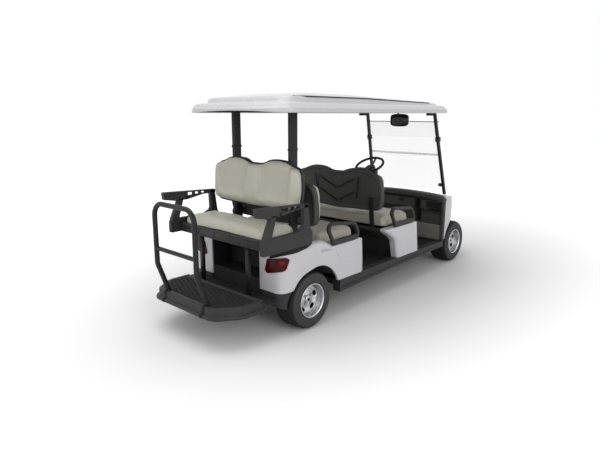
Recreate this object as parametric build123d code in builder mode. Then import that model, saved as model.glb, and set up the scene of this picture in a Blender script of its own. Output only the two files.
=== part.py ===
from build123d import *
from math import cos, radians, sin, tan
import os

# Six-seat golf cart: two forward-facing rows, one rear-facing flip seat with a footplate
# and grab bar, a one-piece roof on four posts, and leaf-sprung axles on 18-inch tyres.
# Millimetres.  X points to the nose, Y to the driver's (left) side, Z up from the ground.
# The origin lies on the ground under the centre of the bounding box.

# ---------------------------------------------------------------- driving dimensions
wheelbase = 2515.0
rear_overhang = 851.0        # rear axle to the rear face of the grab bar
front_overhang = 454.0       # front axle to the front face of the bumper
tyre_radius = 229.0
tyre_width = 216.0
rim_radius = 126.6           # bead seat of the 10-inch rim
seat_half = 500.0            # half width of seat boxes and floor
side_depth = 75.0            # painted body sides stand this far outside the seat boxes
tyre_proud = 16.0            # rear tyres stand this far outside the body
panel_t = 18.0               # moulded body panel thickness
row_pitch = 910.0            # from one forward-facing row to the next
rail_bottom, rail_height = 235.0, 60.0
floor_t = 10.0
seat_box_top = 615.0         # top of the seat boxes, where the cushions rest
rear_deck_top = 680.0        # top of the body under the rear-facing seat
sill_top = 312.0
cushion_depth, cushion_t = 460.0, 105.0
flip_depth, flip_t = 350.0, 72.0
roof_underside = 1690.0
roof_skirt_low = 1656.0
roof_top = 1815.0
dash_top = 785.0

# ---------------------------------------------------------------- derived stations
body_half = seat_half + side_depth
rear_wheel_y = body_half + tyre_proud - tyre_width / 2
front_wheel_y = rear_wheel_y - 57
kingpin_y = front_wheel_y - 66
roof_half = body_half + 6
rear_axle_x = rear_overhang - (wheelbase + rear_overhang + front_overhang) / 2
front_axle_x = rear_axle_x + wheelbase
rail_top = rail_bottom + rail_height
floor_top = rail_top + floor_t
mid_seat_x = rear_axle_x + 200            # rear edge of the middle cushion
front_seat_x = mid_seat_x + row_pitch     # rear edge of the front cushion
dash_x = front_axle_x - 385               # rear edge of the cowl, where the dash sits
post_x = rear_axle_x + 47
post_half_x, post_y = 37.0, 330.0
body_rear_x = rear_axle_x - 284
body_front_x = mid_seat_x + cushion_depth - 15
flip_hinge_x, flip_hinge_z = rear_axle_x - 420, rear_deck_top + 80
cushion_half = seat_half - 8
arch_centre = (rear_axle_x + 75, tyre_radius - 7)
arch_r = tyre_radius + 39
front_arch_r = tyre_radius + 133

os.makedirs("parts", exist_ok=True)


def save(builder, label):
    """Label one finished piece and write its STEP file."""
    builder.part.label = label
    export_step(builder.part, f"parts/{label}.step")


def side_plane(y):
    """A sketch plane facing -Y at the given y, so local x, y read as row X, Z."""
    return Plane(origin=(0, y, 0), x_dir=(1, 0, 0), z_dir=(0, -1, 0))


# ---------------------------------------------------------------- chassis
rail_y, rail_w = 170.0, 50.0
rail_rear_x = rear_axle_x - 410
rail_front_x = front_axle_x + 330
kick_up = 55.0                            # the rails rise this much over the rear axle
strut_x, strut_y = rear_axle_x - 390, body_half - 295
spring_rear_x, spring_front_x = rear_axle_x - 306, rear_axle_x + 300
spring_half = 320.0                       # the short cross members reach out to the springs
cross_members = [                         # centre x, half width
    (strut_x, strut_y + 18),
    (spring_rear_x, spring_half),
    (spring_front_x, spring_half),
    (rail_front_x - 20, rail_y),
    (rear_axle_x + 420, seat_half),
    (front_seat_x + 200, seat_half),
    (dash_x + 20, seat_half),
]
with BuildPart() as chassis_frame:
    rail_line = [
        (rail_rear_x, 0),
        (rear_axle_x - 270, 0),
        (rear_axle_x - 200, kick_up),
        (rear_axle_x + 200, kick_up),
        (rear_axle_x + 270, 0),
        (rail_front_x, 0),
    ]
    for side in (-1, 1):
        with BuildSketch(side_plane(side * rail_y)):
            with BuildLine():
                Polyline(
                    *[(x, rail_bottom + rise) for x, rise in rail_line],
                    *[(x, rail_top + rise) for x, rise in reversed(rail_line)],
                    close=True,
                )
            make_face()
        extrude(amount=rail_w / 2, both=True)
    with BuildSketch(Plane.XY.offset(rail_bottom)):
        for x, half in cross_members:
            with Locations((x, 0)):
                Rectangle(40, 2 * half)
    extrude(amount=rail_height)
save(chassis_frame, "chassis_frame")

with BuildPart() as floor_pan:
    floor_rear_x = rear_axle_x + 352
    with BuildSketch(Plane.XY.offset(rail_top)):
        with Locations(((floor_rear_x + dash_x) / 2, 0)):
            Rectangle(dash_x - floor_rear_x, 2 * seat_half)
    extrude(amount=floor_t)
save(floor_pan, "floor_pan")

sill_low = [(floor_rear_x, sill_top - 107), (front_seat_x + 20, sill_top - 76), (dash_x + 12, sill_top - 62)]
with BuildPart() as sills:
    for side in (-1, 1):
        with BuildSketch(side_plane(side * (body_half + seat_half) / 2)):
            with BuildLine():
                Polyline(*sill_low, (dash_x + 12, sill_top), (floor_rear_x, sill_top), close=True)
            make_face()
        extrude(amount=side_depth / 2, both=True)
        with BuildSketch(side_plane(side * body_half)):
            with BuildLine():
                Polyline(
                    (floor_rear_x + 30, sill_top - 72), (dash_x - 30, sill_top - 40),
                    (dash_x - 30, sill_top - 34), (floor_rear_x + 30, sill_top - 60), close=True,
                )
            make_face()
        extrude(amount=4, both=True, mode=Mode.SUBTRACT)
    outer_top = sills.edges().filter_by(Axis.X).filter_by_position(Axis.Z, sill_top - 1, sill_top + 1)
    fillet([edge for edge in outer_top if abs(edge.center().Y) > body_half - 1], 10)
save(sills, "sills")

# ---------------------------------------------------------------- rear body
slope_x = mid_seat_x - 35                 # the deck steps up behind the middle cushion
hem_rear_z, hem_front_z = tyre_radius + 104, tyre_radius + 131
hem_front_x = rear_axle_x - 193
tail_r, shoulder_r = 120.0, 40.0           # rounded tail corners in plan, and top edges
tail_gap = body_half - 285                # half width of the opening between the tail panels


def rear_side_points(inset):
    """Side outline of the rear body; with an inset it is the void, open downwards."""
    upper = [
        (body_front_x + 42 - inset, sill_top),
        (body_front_x - inset, seat_box_top - inset),
        (slope_x + inset / 3, seat_box_top - inset),
        (slope_x - 60 + inset / 3, rear_deck_top - inset),
        (body_rear_x + inset, rear_deck_top - inset),
    ]
    if inset:
        return upper + [(body_rear_x + inset, -100), (body_front_x + 42 - inset, -100)]
    return upper + [(body_rear_x, hem_rear_z), (hem_front_x, hem_front_z), (rear_axle_x + 343, sill_top)]


def rear_plan_outline(inset):
    """Plan outline of the rear body with its rounded rear corners."""
    long = body_front_x + 100 - body_rear_x
    with Locations((body_front_x + 100 - long / 2, 0)):
        RectangleRounded(long - 2 * inset, 2 * (body_half - inset), tail_r - inset)


with BuildPart() as rear_body:
    with BuildSketch(side_plane(0)):
        with BuildLine():
            FilletPolyline(*rear_side_points(0), radius=(0, 14, 70, 70, shoulder_r, 0, 0, 0), close=True)
        make_face()
    extrude(amount=body_half, both=True)
    with BuildSketch(Plane.XY):
        rear_plan_outline(0)
    extrude(amount=rear_deck_top + 10, mode=Mode.INTERSECT)
    with BuildSketch(Plane.YZ.offset(body_rear_x - 10)):
        with Locations((0, 0)):
            RectangleRounded(2 * body_half, 2 * rear_deck_top, shoulder_r)
    extrude(amount=body_front_x - body_rear_x + 80, mode=Mode.INTERSECT)
    with BuildPart(mode=Mode.SUBTRACT):
        with BuildSketch(side_plane(0)):
            with BuildLine():
                Polyline(*rear_side_points(panel_t), close=True)
            make_face()
        extrude(amount=body_half, both=True)
        with BuildSketch(Plane.XY.offset(-200)):
            rear_plan_outline(panel_t)
        extrude(amount=rear_deck_top + 210, mode=Mode.INTERSECT)
    with BuildSketch(side_plane(0)):
        with Locations((rear_axle_x, tyre_radius)):
            Circle(tyre_radius + 16)
        with Locations(arch_centre):
            Circle(arch_r)
        make_hull()
    extrude(amount=body_half + 5, both=True, mode=Mode.SUBTRACT)
    with BuildSketch(Plane.XY.offset(seat_box_top - 60)):
        with Locations((mid_seat_x + cushion_depth / 2 + 5, 0)):
            RectangleRounded(cushion_depth - 90, 2 * seat_half - 160, 30)
    extrude(amount=100, mode=Mode.SUBTRACT)
    with BuildSketch(Plane.XY.offset(-200)):
        with Locations((body_rear_x, 0)):
            Rectangle(300, 2 * tail_gap)
    extrude(amount=rear_deck_top - panel_t + 200, mode=Mode.SUBTRACT)
    with BuildSketch(Plane.XY.offset(rear_deck_top - 60)):
        with Locations((rear_axle_x - 170, 0)):
            RectangleRounded(130, 460, 30)
    extrude(amount=100, mode=Mode.SUBTRACT)
save(rear_body, "rear_body")

with BuildPart() as bagwell:
    well_half, well_t = tail_gap, 10.0
    well_low = rail_top + 105
    well_rear_x, well_front_x = body_rear_x + 10, rear_axle_x - 80
    with BuildSketch(side_plane(0)):
        with BuildLine():
            FilletPolyline(
                (well_rear_x, well_low), (well_front_x, well_low),
                (well_front_x, rear_deck_top - panel_t), (well_rear_x, rear_deck_top - panel_t),
                radius=(0, 22, 0, 0), close=True,
            )
        make_face()
    extrude(amount=well_half, both=True)
    with BuildSketch(side_plane(0)):
        with BuildLine():
            FilletPolyline(
                (well_rear_x - 20, well_low + well_t), (well_front_x - well_t, well_low + well_t),
                (well_front_x - well_t, rear_deck_top), (well_rear_x - 20, rear_deck_top),
                radius=(0, 12, 0, 0), close=True,
            )
        make_face()
    extrude(amount=well_half - well_t, both=True, mode=Mode.SUBTRACT)
save(bagwell, "bagwell")


def body_hem_z(dx):
    """Height of the rear body's lower edge behind the wheel, dx from the rear axle."""
    return hem_front_z + (hem_front_x - rear_axle_x - dx) * (hem_rear_z - hem_front_z) / (hem_front_x - body_rear_x)


skirt_in, skirt_low = tail_gap + 15, tyre_radius - 14
with BuildPart() as rear_bumper:
    for side in (-1, 1):
        with BuildSketch(side_plane(side * (skirt_in + body_half) / 2)):
            with BuildLine():
                Polyline(
                    (body_rear_x, body_hem_z(body_rear_x - rear_axle_x)),
                    (rear_axle_x - 190, body_hem_z(-190)),
                    (rear_axle_x - 190, skirt_low),
                    (body_rear_x + 18, skirt_low),
                    (body_rear_x + 5, skirt_low + 12),
                    (body_rear_x, skirt_low + 36),
                    close=True,
                )
            make_face()
        extrude(amount=(body_half - skirt_in) / 2, both=True)
    with BuildSketch(Plane.XY):
        rear_plan_outline(0)
    extrude(amount=rear_deck_top, mode=Mode.INTERSECT)
    with BuildSketch(Plane.XY):
        rear_plan_outline(30)
    extrude(amount=rear_deck_top, mode=Mode.SUBTRACT)
    with BuildSketch(side_plane(0)):
        with Locations((rear_axle_x, tyre_radius)):
            Circle(tyre_radius + 16)
    extrude(amount=body_half, both=True, mode=Mode.SUBTRACT)
save(rear_bumper, "rear_bumper")

lamp_t, lamp_low, lamp_high = 9.0, tyre_radius + 241, tyre_radius + 395
lamp_outline = [  # y outwards, z, corner radius
    (body_half - 227, lamp_low, 26),
    (body_half - 193, lamp_high - 34, 14),
    (body_half - 12, lamp_high, 22),
    (body_half - 36, lamp_high - 108, 30),
]
with BuildPart() as tail_lamps:
    for side in (-1, 1):
        with BuildSketch(Plane.YZ.offset(body_rear_x - 2 * lamp_t)):
            with BuildLine():
                FilletPolyline(
                    *[(side * y, z) for y, z, r in lamp_outline], radius=[r for y, z, r in lamp_outline], close=True
                )
            make_face()
        extrude(amount=tail_r)
    with BuildSketch(Plane.XY.offset(lamp_low - 10)):
        rear_plan_outline(-lamp_t)
    extrude(amount=lamp_high - lamp_low + 20, mode=Mode.INTERSECT)
    with BuildSketch(Plane.XY.offset(lamp_low - 10)):
        rear_plan_outline(0)
    extrude(amount=lamp_high - lamp_low + 20, mode=Mode.SUBTRACT)
save(tail_lamps, "tail_lamps")

# ---------------------------------------------------------------- front seat box
pod_rear_x, pod_front_x = front_seat_x - 75, front_seat_x + cushion_depth - 12
with BuildPart() as front_seat_pod:
    with BuildSketch(side_plane(0)):
        with BuildLine():
            Polyline(
                (pod_rear_x, seat_box_top),
                (pod_front_x, seat_box_top),
                (pod_front_x + 42, floor_top),
                (pod_rear_x + 240, floor_top),
                (pod_rear_x + 190, floor_top + 165),
                (pod_rear_x, seat_box_top - 25),
                close=True,
            )
        make_face()
    extrude(amount=seat_half, both=True)
    offset(amount=-12, openings=faces().sort_by(Axis.Z)[-1:])
save(front_seat_pod, "front_seat_pod")

with BuildPart() as pod_side_panels:
    pod_outline = [
        (pod_front_x, seat_box_top),
        (pod_front_x + 42, sill_top),
        (pod_rear_x + 200, sill_top),
        (pod_rear_x + 160, seat_box_top - 120),
        (pod_rear_x, seat_box_top - 25),
        (pod_rear_x, seat_box_top),
    ]
    for side in (-1, 1):
        with BuildSketch(side_plane(side * (seat_half + body_half) / 2)):
            with BuildLine():
                FilletPolyline(*pod_outline, radius=(0, 0, 0, 110, 20, 0), close=True)
            make_face()
        extrude(amount=side_depth / 2, both=True)
        with BuildSketch(side_plane(side * (seat_half + body_half) / 2)):
            with BuildLine():
                FilletPolyline(*pod_outline, radius=(0, 0, 0, 110, 20, 0), close=True)
            make_face()
            offset(amount=-panel_t)
        extrude(amount=side_depth / 2 - panel_t, both=True, mode=Mode.SUBTRACT)
    rear_edges = pod_side_panels.edges().filter_by(lambda e: abs(e.center().Y) > body_half - 1)
    fillet(rear_edges.filter_by_position(Axis.X, pod_rear_x + 90, pod_rear_x + 205), 30)
save(pod_side_panels, "pod_side_panels")

# ---------------------------------------------------------------- front cowl
cowl_front_x = front_axle_x + front_overhang - 34
nose_half = 262.0


def cowl_side_points(inset):
    """Side outline of the front cowl, from the dash to the nose."""
    bottom = -100 if inset else sill_top + 18
    rear = dash_x - (40 if inset else 0)
    return [
        (rear, bottom),
        (rear, dash_top - inset),
        (dash_x + 150, dash_top - inset),
        (front_axle_x + 60, dash_top - 85 - inset),
        (cowl_front_x - 90 - inset, dash_top - 170 - inset),
        (cowl_front_x - inset, dash_top - 265),
        (cowl_front_x - 12 - inset, bottom),
    ]


cowl_plan = [
    (dash_x, body_half), (dash_x + 165, body_half), (cowl_front_x, nose_half),
    (cowl_front_x, -nose_half), (dash_x + 165, -body_half), (dash_x, -body_half),
]
cowl_plan_radii = (0, 200, 110, 110, 200, 0)
liner_y = nose_half - 27                   # wheel housings run inboard to here
with BuildPart() as front_cowl:
    with BuildSketch(side_plane(0)):
        with BuildLine():
            FilletPolyline(*cowl_side_points(0), radius=(0, 0, 150, 200, 90, 60, 0), close=True)
        make_face()
    extrude(amount=body_half + 10, both=True)
    with BuildSketch(Plane.XY):
        with BuildLine():
            FilletPolyline(*cowl_plan, radius=cowl_plan_radii, close=True)
        make_face()
    extrude(amount=900, mode=Mode.INTERSECT)
    with BuildPart(mode=Mode.SUBTRACT):
        with BuildSketch(side_plane(0)):
            with BuildLine():
                FilletPolyline(*cowl_side_points(panel_t), radius=(0, 0, 140, 190, 80, 50, 0), close=True)
            make_face()
        extrude(amount=body_half + 10, both=True)
        with BuildSketch(Plane.XY.offset(-200)):
            with BuildLine():
                FilletPolyline(*cowl_plan, radius=cowl_plan_radii, close=True)
            make_face()
            offset(amount=-panel_t)
            with Locations((dash_x, 0)):
                Rectangle(2 * panel_t, 2 * (body_half - panel_t))
        extrude(amount=1100, mode=Mode.INTERSECT)
    with BuildSketch(side_plane(0)):
        with Locations((front_axle_x, tyre_radius)):
            Circle(front_arch_r)
    extrude(amount=body_half + 10, both=True, mode=Mode.SUBTRACT)
save(front_cowl, "front_cowl")

with BuildPart() as wheel_liners:
    liner_t, liner_low = 8.0, tyre_radius + 131
    rear_liner_y, front_liner_y = rear_wheel_y - tyre_width / 2 - 45, rail_y + rail_w / 2
    for side in (-1, 1):
        rear_out = body_half - panel_t
        with BuildSketch(side_plane(side * (rear_out + rear_liner_y) / 2)):
            with Locations((rear_axle_x, tyre_radius)):
                Circle(tyre_radius + 16)
            with Locations(arch_centre):
                Circle(arch_r)
            make_hull()
            offset(amount=liner_t)
        extrude(amount=(rear_out - rear_liner_y) / 2, both=True)
        with BuildSketch(side_plane(side * (rear_out + rear_liner_y + liner_t) / 2)):
            with Locations((rear_axle_x, tyre_radius)):
                Circle(tyre_radius + 16)
            with Locations(arch_centre):
                Circle(arch_r)
            make_hull()
        extrude(amount=(rear_out - rear_liner_y - liner_t) / 2, both=True, mode=Mode.SUBTRACT)
        front_out = body_half - panel_t
        with BuildSketch(side_plane(side * (front_out + front_liner_y) / 2)):
            with Locations((front_axle_x, tyre_radius)):
                Circle(front_arch_r)
        extrude(amount=(front_out - front_liner_y) / 2, both=True)
        with BuildSketch(side_plane(side * (front_out + front_liner_y + liner_t) / 2)):
            with Locations((front_axle_x, tyre_radius)):
                Circle(front_arch_r - liner_t)
        extrude(amount=(front_out - front_liner_y - liner_t) / 2, both=True, mode=Mode.SUBTRACT)
    with BuildSketch(Plane.XY):
        Rectangle(2 * front_axle_x + 1200, 2 * body_half)
    extrude(amount=liner_low, mode=Mode.SUBTRACT)
    with BuildSketch(Plane.XY.offset(liner_low)):
        with BuildLine():
            FilletPolyline(*cowl_plan, radius=cowl_plan_radii, close=True)
        make_face()
        with Locations((rear_axle_x, 0)):
            Rectangle(1100, 2 * body_half)
    extrude(amount=rear_deck_top - liner_low, mode=Mode.INTERSECT)
    add(rear_body.part, mode=Mode.SUBTRACT)
    add(front_cowl.part, mode=Mode.SUBTRACT)
save(wheel_liners, "wheel_liners")

bumper_half = nose_half - 12
with BuildPart() as front_bumper:
    with BuildSketch(Plane.XY.offset(rail_bottom)):
        with BuildLine():
            FilletPolyline(
                (rail_front_x, rail_y + 25), (rail_front_x, nose_half + 20), (cowl_front_x - 40, nose_half + 60),
                (cowl_front_x + 34, bumper_half), (cowl_front_x + 34, -bumper_half),
                (cowl_front_x - 40, -nose_half - 60), (rail_front_x, -nose_half - 20), (rail_front_x, -rail_y - 25),
                radius=(0, 20, 50, 60, 60, 50, 20, 0), close=True,
            )
        make_face()
    extrude(amount=sill_top + 18 - rail_bottom)
save(front_bumper, "front_bumper")

with BuildPart() as headlamps:
    for side in (-1, 1):
        with BuildSketch(Plane.YZ.offset(front_axle_x + 120)):
            with Locations((side * (nose_half + 30), dash_top - 205)):
                RectangleRounded(190, 84, 34)
        extrude(amount=front_overhang)
    with BuildSketch(Plane.XY.offset(sill_top)):
        with BuildLine():
            FilletPolyline(*cowl_plan, radius=cowl_plan_radii, close=True)
        make_face()
        offset(amount=6)
    extrude(amount=dash_top - sill_top, mode=Mode.INTERSECT)
    with BuildSketch(side_plane(0)):
        with BuildLine():
            FilletPolyline(*cowl_side_points(0), radius=(0, 0, 150, 200, 90, 60, 0), close=True)
        make_face()
        offset(amount=5)
    extrude(amount=body_half + 10, both=True, mode=Mode.INTERSECT)
    with BuildPart(mode=Mode.SUBTRACT):
        with BuildSketch(side_plane(0)):
            with BuildLine():
                FilletPolyline(*cowl_side_points(0), radius=(0, 0, 150, 200, 90, 60, 0), close=True)
            make_face()
        extrude(amount=body_half + 10, both=True)
        with BuildSketch(Plane.XY):
            with BuildLine():
                FilletPolyline(*cowl_plan, radius=cowl_plan_radii, close=True)
            make_face()
        extrude(amount=900, mode=Mode.INTERSECT)
save(headlamps, "headlamps")

dash_half = body_half - panel_t
dash_pockets = [  # centre y, width, lowest height, highest height, corner radius
    (322 - body_half, 92, floor_top + 182, dash_top - 45, 40),
    (120.75 - body_half, 215, dash_top - 170, dash_top - 62, 22),
    (body_half - 120.75, 215, dash_top - 170, dash_top - 62, 22),
]
with BuildPart() as dashboard:
    with BuildSketch(side_plane(0)):
        with BuildLine():
            FilletPolyline(
                (dash_x, floor_top),
                (dash_x + 20, dash_top - 185),
                (dash_x - 20, dash_top - 145),
                (dash_x - 5, dash_top - 50),
                (dash_x + 60, dash_top - panel_t),
                (dash_x + 90, dash_top - panel_t),
                (dash_x + 18, dash_top - 55),
                (dash_x + 2, dash_top - 130),
                (dash_x + 42, dash_top - 175),
                (dash_x + 20, floor_top),
                radius=(0, 30, 16, 40, 20, 0, 30, 20, 14, 0), close=True,
            )
        make_face()
    extrude(amount=dash_half, both=True)
    for y, width, low, high, corner in dash_pockets:
        with BuildSketch(Plane.YZ.offset(dash_x + 12)):
            with Locations((y, (low + high) / 2)):
                RectangleRounded(width + 16, high - low + 16, corner + 8)
        extrude(amount=85)
        with BuildSketch(Plane.YZ.offset(dash_x - 40)):
            with Locations((y, (low + high) / 2)):
                RectangleRounded(width, high - low, corner)
        extrude(amount=129, mode=Mode.SUBTRACT)
    add(sills.part, mode=Mode.SUBTRACT)
    add(front_cowl.part, mode=Mode.SUBTRACT)
save(dashboard, "dashboard")

# ---------------------------------------------------------------- windscreen and roof posts
screen_knee = Vector(dash_x + 190, 0, dash_top + 70)
screen_head = Vector(dash_x - 30, 0, roof_underside)
screen_up = (screen_head - screen_knee).normalized()
screen_plane = Plane(
    origin=screen_knee, x_dir=(0, 1, 0), z_dir=Vector(0, 1, 0).cross(screen_up)
)
screen_length = (screen_head - screen_knee).length
screen_tube_w, screen_tube_t = 26.0, 30.0
knee_y, head_y = body_half - 105, body_half - 158
with BuildPart() as roof_posts:
    for side in (-1, 1):
        with BuildSketch(screen_plane):
            with BuildLine():
                Polyline(
                    (side * (knee_y - screen_tube_w / 2), -90),
                    (side * (knee_y + screen_tube_w / 2), -90),
                    (side * (head_y + screen_tube_w / 2), screen_length + 40),
                    (side * (head_y - screen_tube_w / 2), screen_length + 40),
                    close=True,
                )
            make_face()
        extrude(amount=-screen_tube_t)
        with BuildSketch(Plane.XY.offset(roof_underside - 30)):
            with Locations((screen_head.X - 110, side * head_y)):
                Rectangle(240, screen_tube_w)
        extrude(amount=30)
        with BuildSketch(Plane.XY.offset(rear_deck_top)):
            with Locations((post_x, side * post_y)):
                RectangleRounded(2 * post_half_x, 40, 8)
        extrude(amount=roof_underside - rear_deck_top)
    with BuildSketch(Plane.XY.offset(roof_underside)):
        Rectangle(2 * wheelbase, 3 * body_half)
    extrude(amount=200, mode=Mode.SUBTRACT)
    with BuildSketch(Plane.XY.offset(dash_top)):
        with Locations((dash_x, 0)):
            Rectangle(2 * body_half, 3 * body_half)
    extrude(amount=-80, mode=Mode.SUBTRACT)
save(roof_posts, "roof_posts")

glass_t, glass_split, glass_top = 5.0, 375.0, 735.0
with BuildPart() as windscreen:
    for low, high in ((-30, glass_split), (glass_split + 3, glass_top)):
        with BuildSketch(screen_plane):
            with Locations((0, (low + high) / 2)):
                RectangleRounded(2 * (head_y + screen_tube_w / 2), high - low, 14)
        extrude(amount=glass_t)
save(windscreen, "windscreen")

# ---------------------------------------------------------------- roof
roof_rear_x, roof_front_x = rear_axle_x - 295, dash_x + 35
roof_mid_x, roof_length = (roof_rear_x + roof_front_x) / 2, roof_front_x - roof_rear_x


def roof_ring(inset, corner):
    """One rounded-rectangle section of the roof, drawn in from its edge by an inset."""
    with Locations((roof_mid_x, 0)):
        RectangleRounded(roof_length - 2 * inset, 2 * (roof_half - inset), corner)


roof_steps = [  # height over the skirt, inset and corner below, height, inset and corner above
    (62, 0, 150, 92, 45, 105),
    (92, 90, 100, 128, 135, 80),
    (128, 135, 80, roof_top - roof_skirt_low, 215, 60),
]
with BuildPart() as roof:
    with BuildSketch(Plane.XY.offset(roof_skirt_low)):
        roof_ring(0, 150)
    extrude(amount=62)
    for low, low_inset, low_corner, high, high_inset, high_corner in roof_steps:
        with BuildSketch(Plane.XY.offset(roof_skirt_low + low)):
            roof_ring(low_inset, low_corner)
        with BuildSketch(Plane.XY.offset(roof_skirt_low + high)):
            roof_ring(high_inset, high_corner)
        loft()
    with BuildSketch(Plane.XY.offset(roof_skirt_low)):
        roof_ring(22, 128)
    extrude(amount=roof_underside - roof_skirt_low, mode=Mode.SUBTRACT)
save(roof, "roof")

mirror_z = roof_underside - 113
with BuildPart() as mirror_unit:
    with BuildSketch(Plane.YZ.offset(screen_head.X - 60)):
        with Locations((0, mirror_z)):
            RectangleRounded(190, 126, 28)
    extrude(amount=26)
    with BuildSketch(Plane.XY.offset(mirror_z + 50)):
        with Locations((screen_head.X - 47, 0)):
            Circle(9)
    extrude(amount=roof_underside - mirror_z - 50)
save(mirror_unit, "mirror")

# ---------------------------------------------------------------- seats
for row, seat_x in (("front", front_seat_x), ("mid", mid_seat_x)):
    with BuildPart() as cushion:
        with BuildSketch(Plane.XY.offset(seat_box_top)):
            with Locations((seat_x + cushion_depth / 2, 0)):
                RectangleRounded(cushion_depth, 2 * cushion_half, 40)
        extrude(amount=cushion_t)
        fillet(cushion.faces().sort_by(Axis.Z)[-1].edges(), 25)
    save(cushion, f"cushion_{row}")

pin_r, barrel_r, pin_in, barrel_in = 6.0, 11.0, cushion_half - 52, cushion_half - 12
with BuildPart() as cushion:
    with BuildSketch(side_plane(0)):
        with BuildLine():
            FilletPolyline(
                (flip_hinge_x, flip_hinge_z),
                (flip_hinge_x + flip_depth, flip_hinge_z),
                (flip_hinge_x + flip_depth - 4, flip_hinge_z + 42),
                (flip_hinge_x + flip_depth - 28, flip_hinge_z + flip_t),
                (flip_hinge_x + 18, flip_hinge_z + flip_t),
                (flip_hinge_x, flip_hinge_z + 48),
                radius=(0, 0, 20, 18, 16, 14), close=True,
            )
        make_face()
    extrude(amount=cushion_half, both=True)
    for side in (-1, 1):
        with BuildSketch(side_plane(side * (pin_in + barrel_in) / 2)):
            with Locations((flip_hinge_x, flip_hinge_z)):
                Circle(barrel_r)
        extrude(amount=(barrel_in - pin_in) / 2, both=True)
        with BuildSketch(side_plane(side * (pin_in + cushion_half) / 2)):
            with Locations((flip_hinge_x, flip_hinge_z)):
                Circle(pin_r + 0.3)
        extrude(amount=(cushion_half - pin_in) / 2 + 1, both=True, mode=Mode.SUBTRACT)
save(cushion, "cushion_rear")

shell_t, back_half, back_height = 18.0, seat_half + 12, 385.0
back_outline = [  # y outwards, height over the lowest point, corner radius
    (0, 0, 300),
    (0.74 * back_half, 18, 200),
    (0.93 * back_half, 62, 110),
    (back_half, 200, 240),
    (0.957 * back_half, back_height - 52, 75),
    (0.79 * back_half, back_height - 38, 80),
    (0.625 * back_half, back_height + 3, 170),
    (0.275 * back_half, back_height + 2, 170),
    (0.13 * back_half, back_height - 37, 60),
    (0, back_height - 37, 0),
]
front_lean, rear_lean = 6.0, 4.0
backs = {  # rear face at the foot, lowest height, facing, lean in degrees, pad thickness
    "front": (front_seat_x - 72, seat_box_top + 150, 1, front_lean, 82),
    "mid": (mid_seat_x - 72, seat_box_top + 150, 1, front_lean, 82),
    "rear": (rear_axle_x - 22, rear_deck_top + 232, -1, rear_lean, 60),
}
lug_heights = {"front": (), "mid": (55, 300), "rear": (60, 285)}
for row, (shell_x, low_z, facing, lean_deg, pad_t) in backs.items():
    lean = radians(lean_deg)
    up = Vector(-facing * sin(lean), 0, cos(lean))
    back_plane = Plane(origin=(shell_x, 0, low_z), x_dir=(0, facing, 0), z_dir=Vector(0, facing, 0).cross(up))
    ring = back_outline + [(-y, s, r) for y, s, r in reversed(back_outline[1:-1])]
    with BuildPart() as back_shell:
        with BuildSketch(back_plane):
            with BuildLine():
                FilletPolyline(*[(y, s) for y, s, r in ring], radius=[r for y, s, r in ring], close=True)
            make_face()
        extrude(amount=shell_t)
        for rise in (0, -125):
            with BuildSketch(back_plane):
                with BuildLine():
                    Polyline(
                        (-200, 295 + rise), (0, 200 + rise), (200, 295 + rise),
                        (200, 268 + rise), (0, 173 + rise), (-200, 268 + rise), close=True,
                    )
                make_face()
            extrude(amount=-6)
        with BuildSketch(back_plane):
            with Locations((-248, 210), (248, 210)):
                RectangleRounded(24, 210, 8)
        extrude(amount=-6)
        for height in lug_heights[row]:
            face_x = shell_x - facing * height * tan(lean)
            with BuildSketch(Plane.YZ.offset(post_x + facing * post_half_x)):
                with Locations((post_y, low_z + height), (-post_y, low_z + height)):
                    Rectangle(36, 44)
            extrude(amount=face_x + facing * 6 - (post_x + facing * post_half_x))
    with BuildPart() as back_pad:
        with BuildSketch(back_plane.offset(shell_t)):
            with BuildLine():
                FilletPolyline(*[(y, s) for y, s, r in ring], radius=[r for y, s, r in ring], close=True)
            make_face()
            offset(amount=-8)
        extrude(amount=pad_t)
        fillet(back_pad.faces().sort_by(Axis.X)[-1 if facing > 0 else 0].edges(), 20)
    save(back_shell, f"back_shell_{row}")
    save(back_pad, f"back_pad_{row}")

with BuildPart() as back_brackets:
    slope = tan(radians(front_lean))
    bracket_low, bracket_high = seat_box_top, seat_box_top + 285
    foot_x = front_seat_x - 72 + 150 * slope
    head_x = foot_x - (bracket_high - bracket_low) * slope
    for side in (-1, 1):
        with BuildSketch(side_plane(side * 0.8 * seat_half)):
            with BuildLine():
                Polyline(
                    (foot_x, bracket_low), (head_x, bracket_high), (head_x - 16, bracket_high), (foot_x - 16, bracket_low),
                    close=True,
                )
            make_face()
        extrude(amount=22, both=True)
save(back_brackets, "back_brackets")

# ---------------------------------------------------------------- armrests
arm_y, arm_w = body_half - 3, 36.0
with BuildPart() as armrests:
    for seat_x in (front_seat_x, mid_seat_x):
        for side in (-1, 1):
            with BuildSketch(side_plane(side * arm_y)):
                with BuildLine():
                    FilletPolyline(
                        (seat_x - 52, seat_box_top + 214),
                        (seat_x + 350, seat_box_top + 164),
                        (seat_x + 428, seat_box_top + 22),
                        (seat_x + 428, seat_box_top),
                        (seat_x + 66, seat_box_top),
                        radius=(38, 62, 10, 0, 0), close=True,
                    )
                make_face()
                with BuildLine():
                    FilletPolyline(
                        (seat_x + 4, seat_box_top + 174),
                        (seat_x + 319, seat_box_top + 132),
                        (seat_x + 374, seat_box_top + 60),
                        (seat_x + 80, seat_box_top + 60),
                        radius=(16, 36, 18, 14), close=True,
                    )
                make_face(mode=Mode.SUBTRACT)
            extrude(amount=arm_w / 2, both=True)
save(armrests, "armrests")

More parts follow.
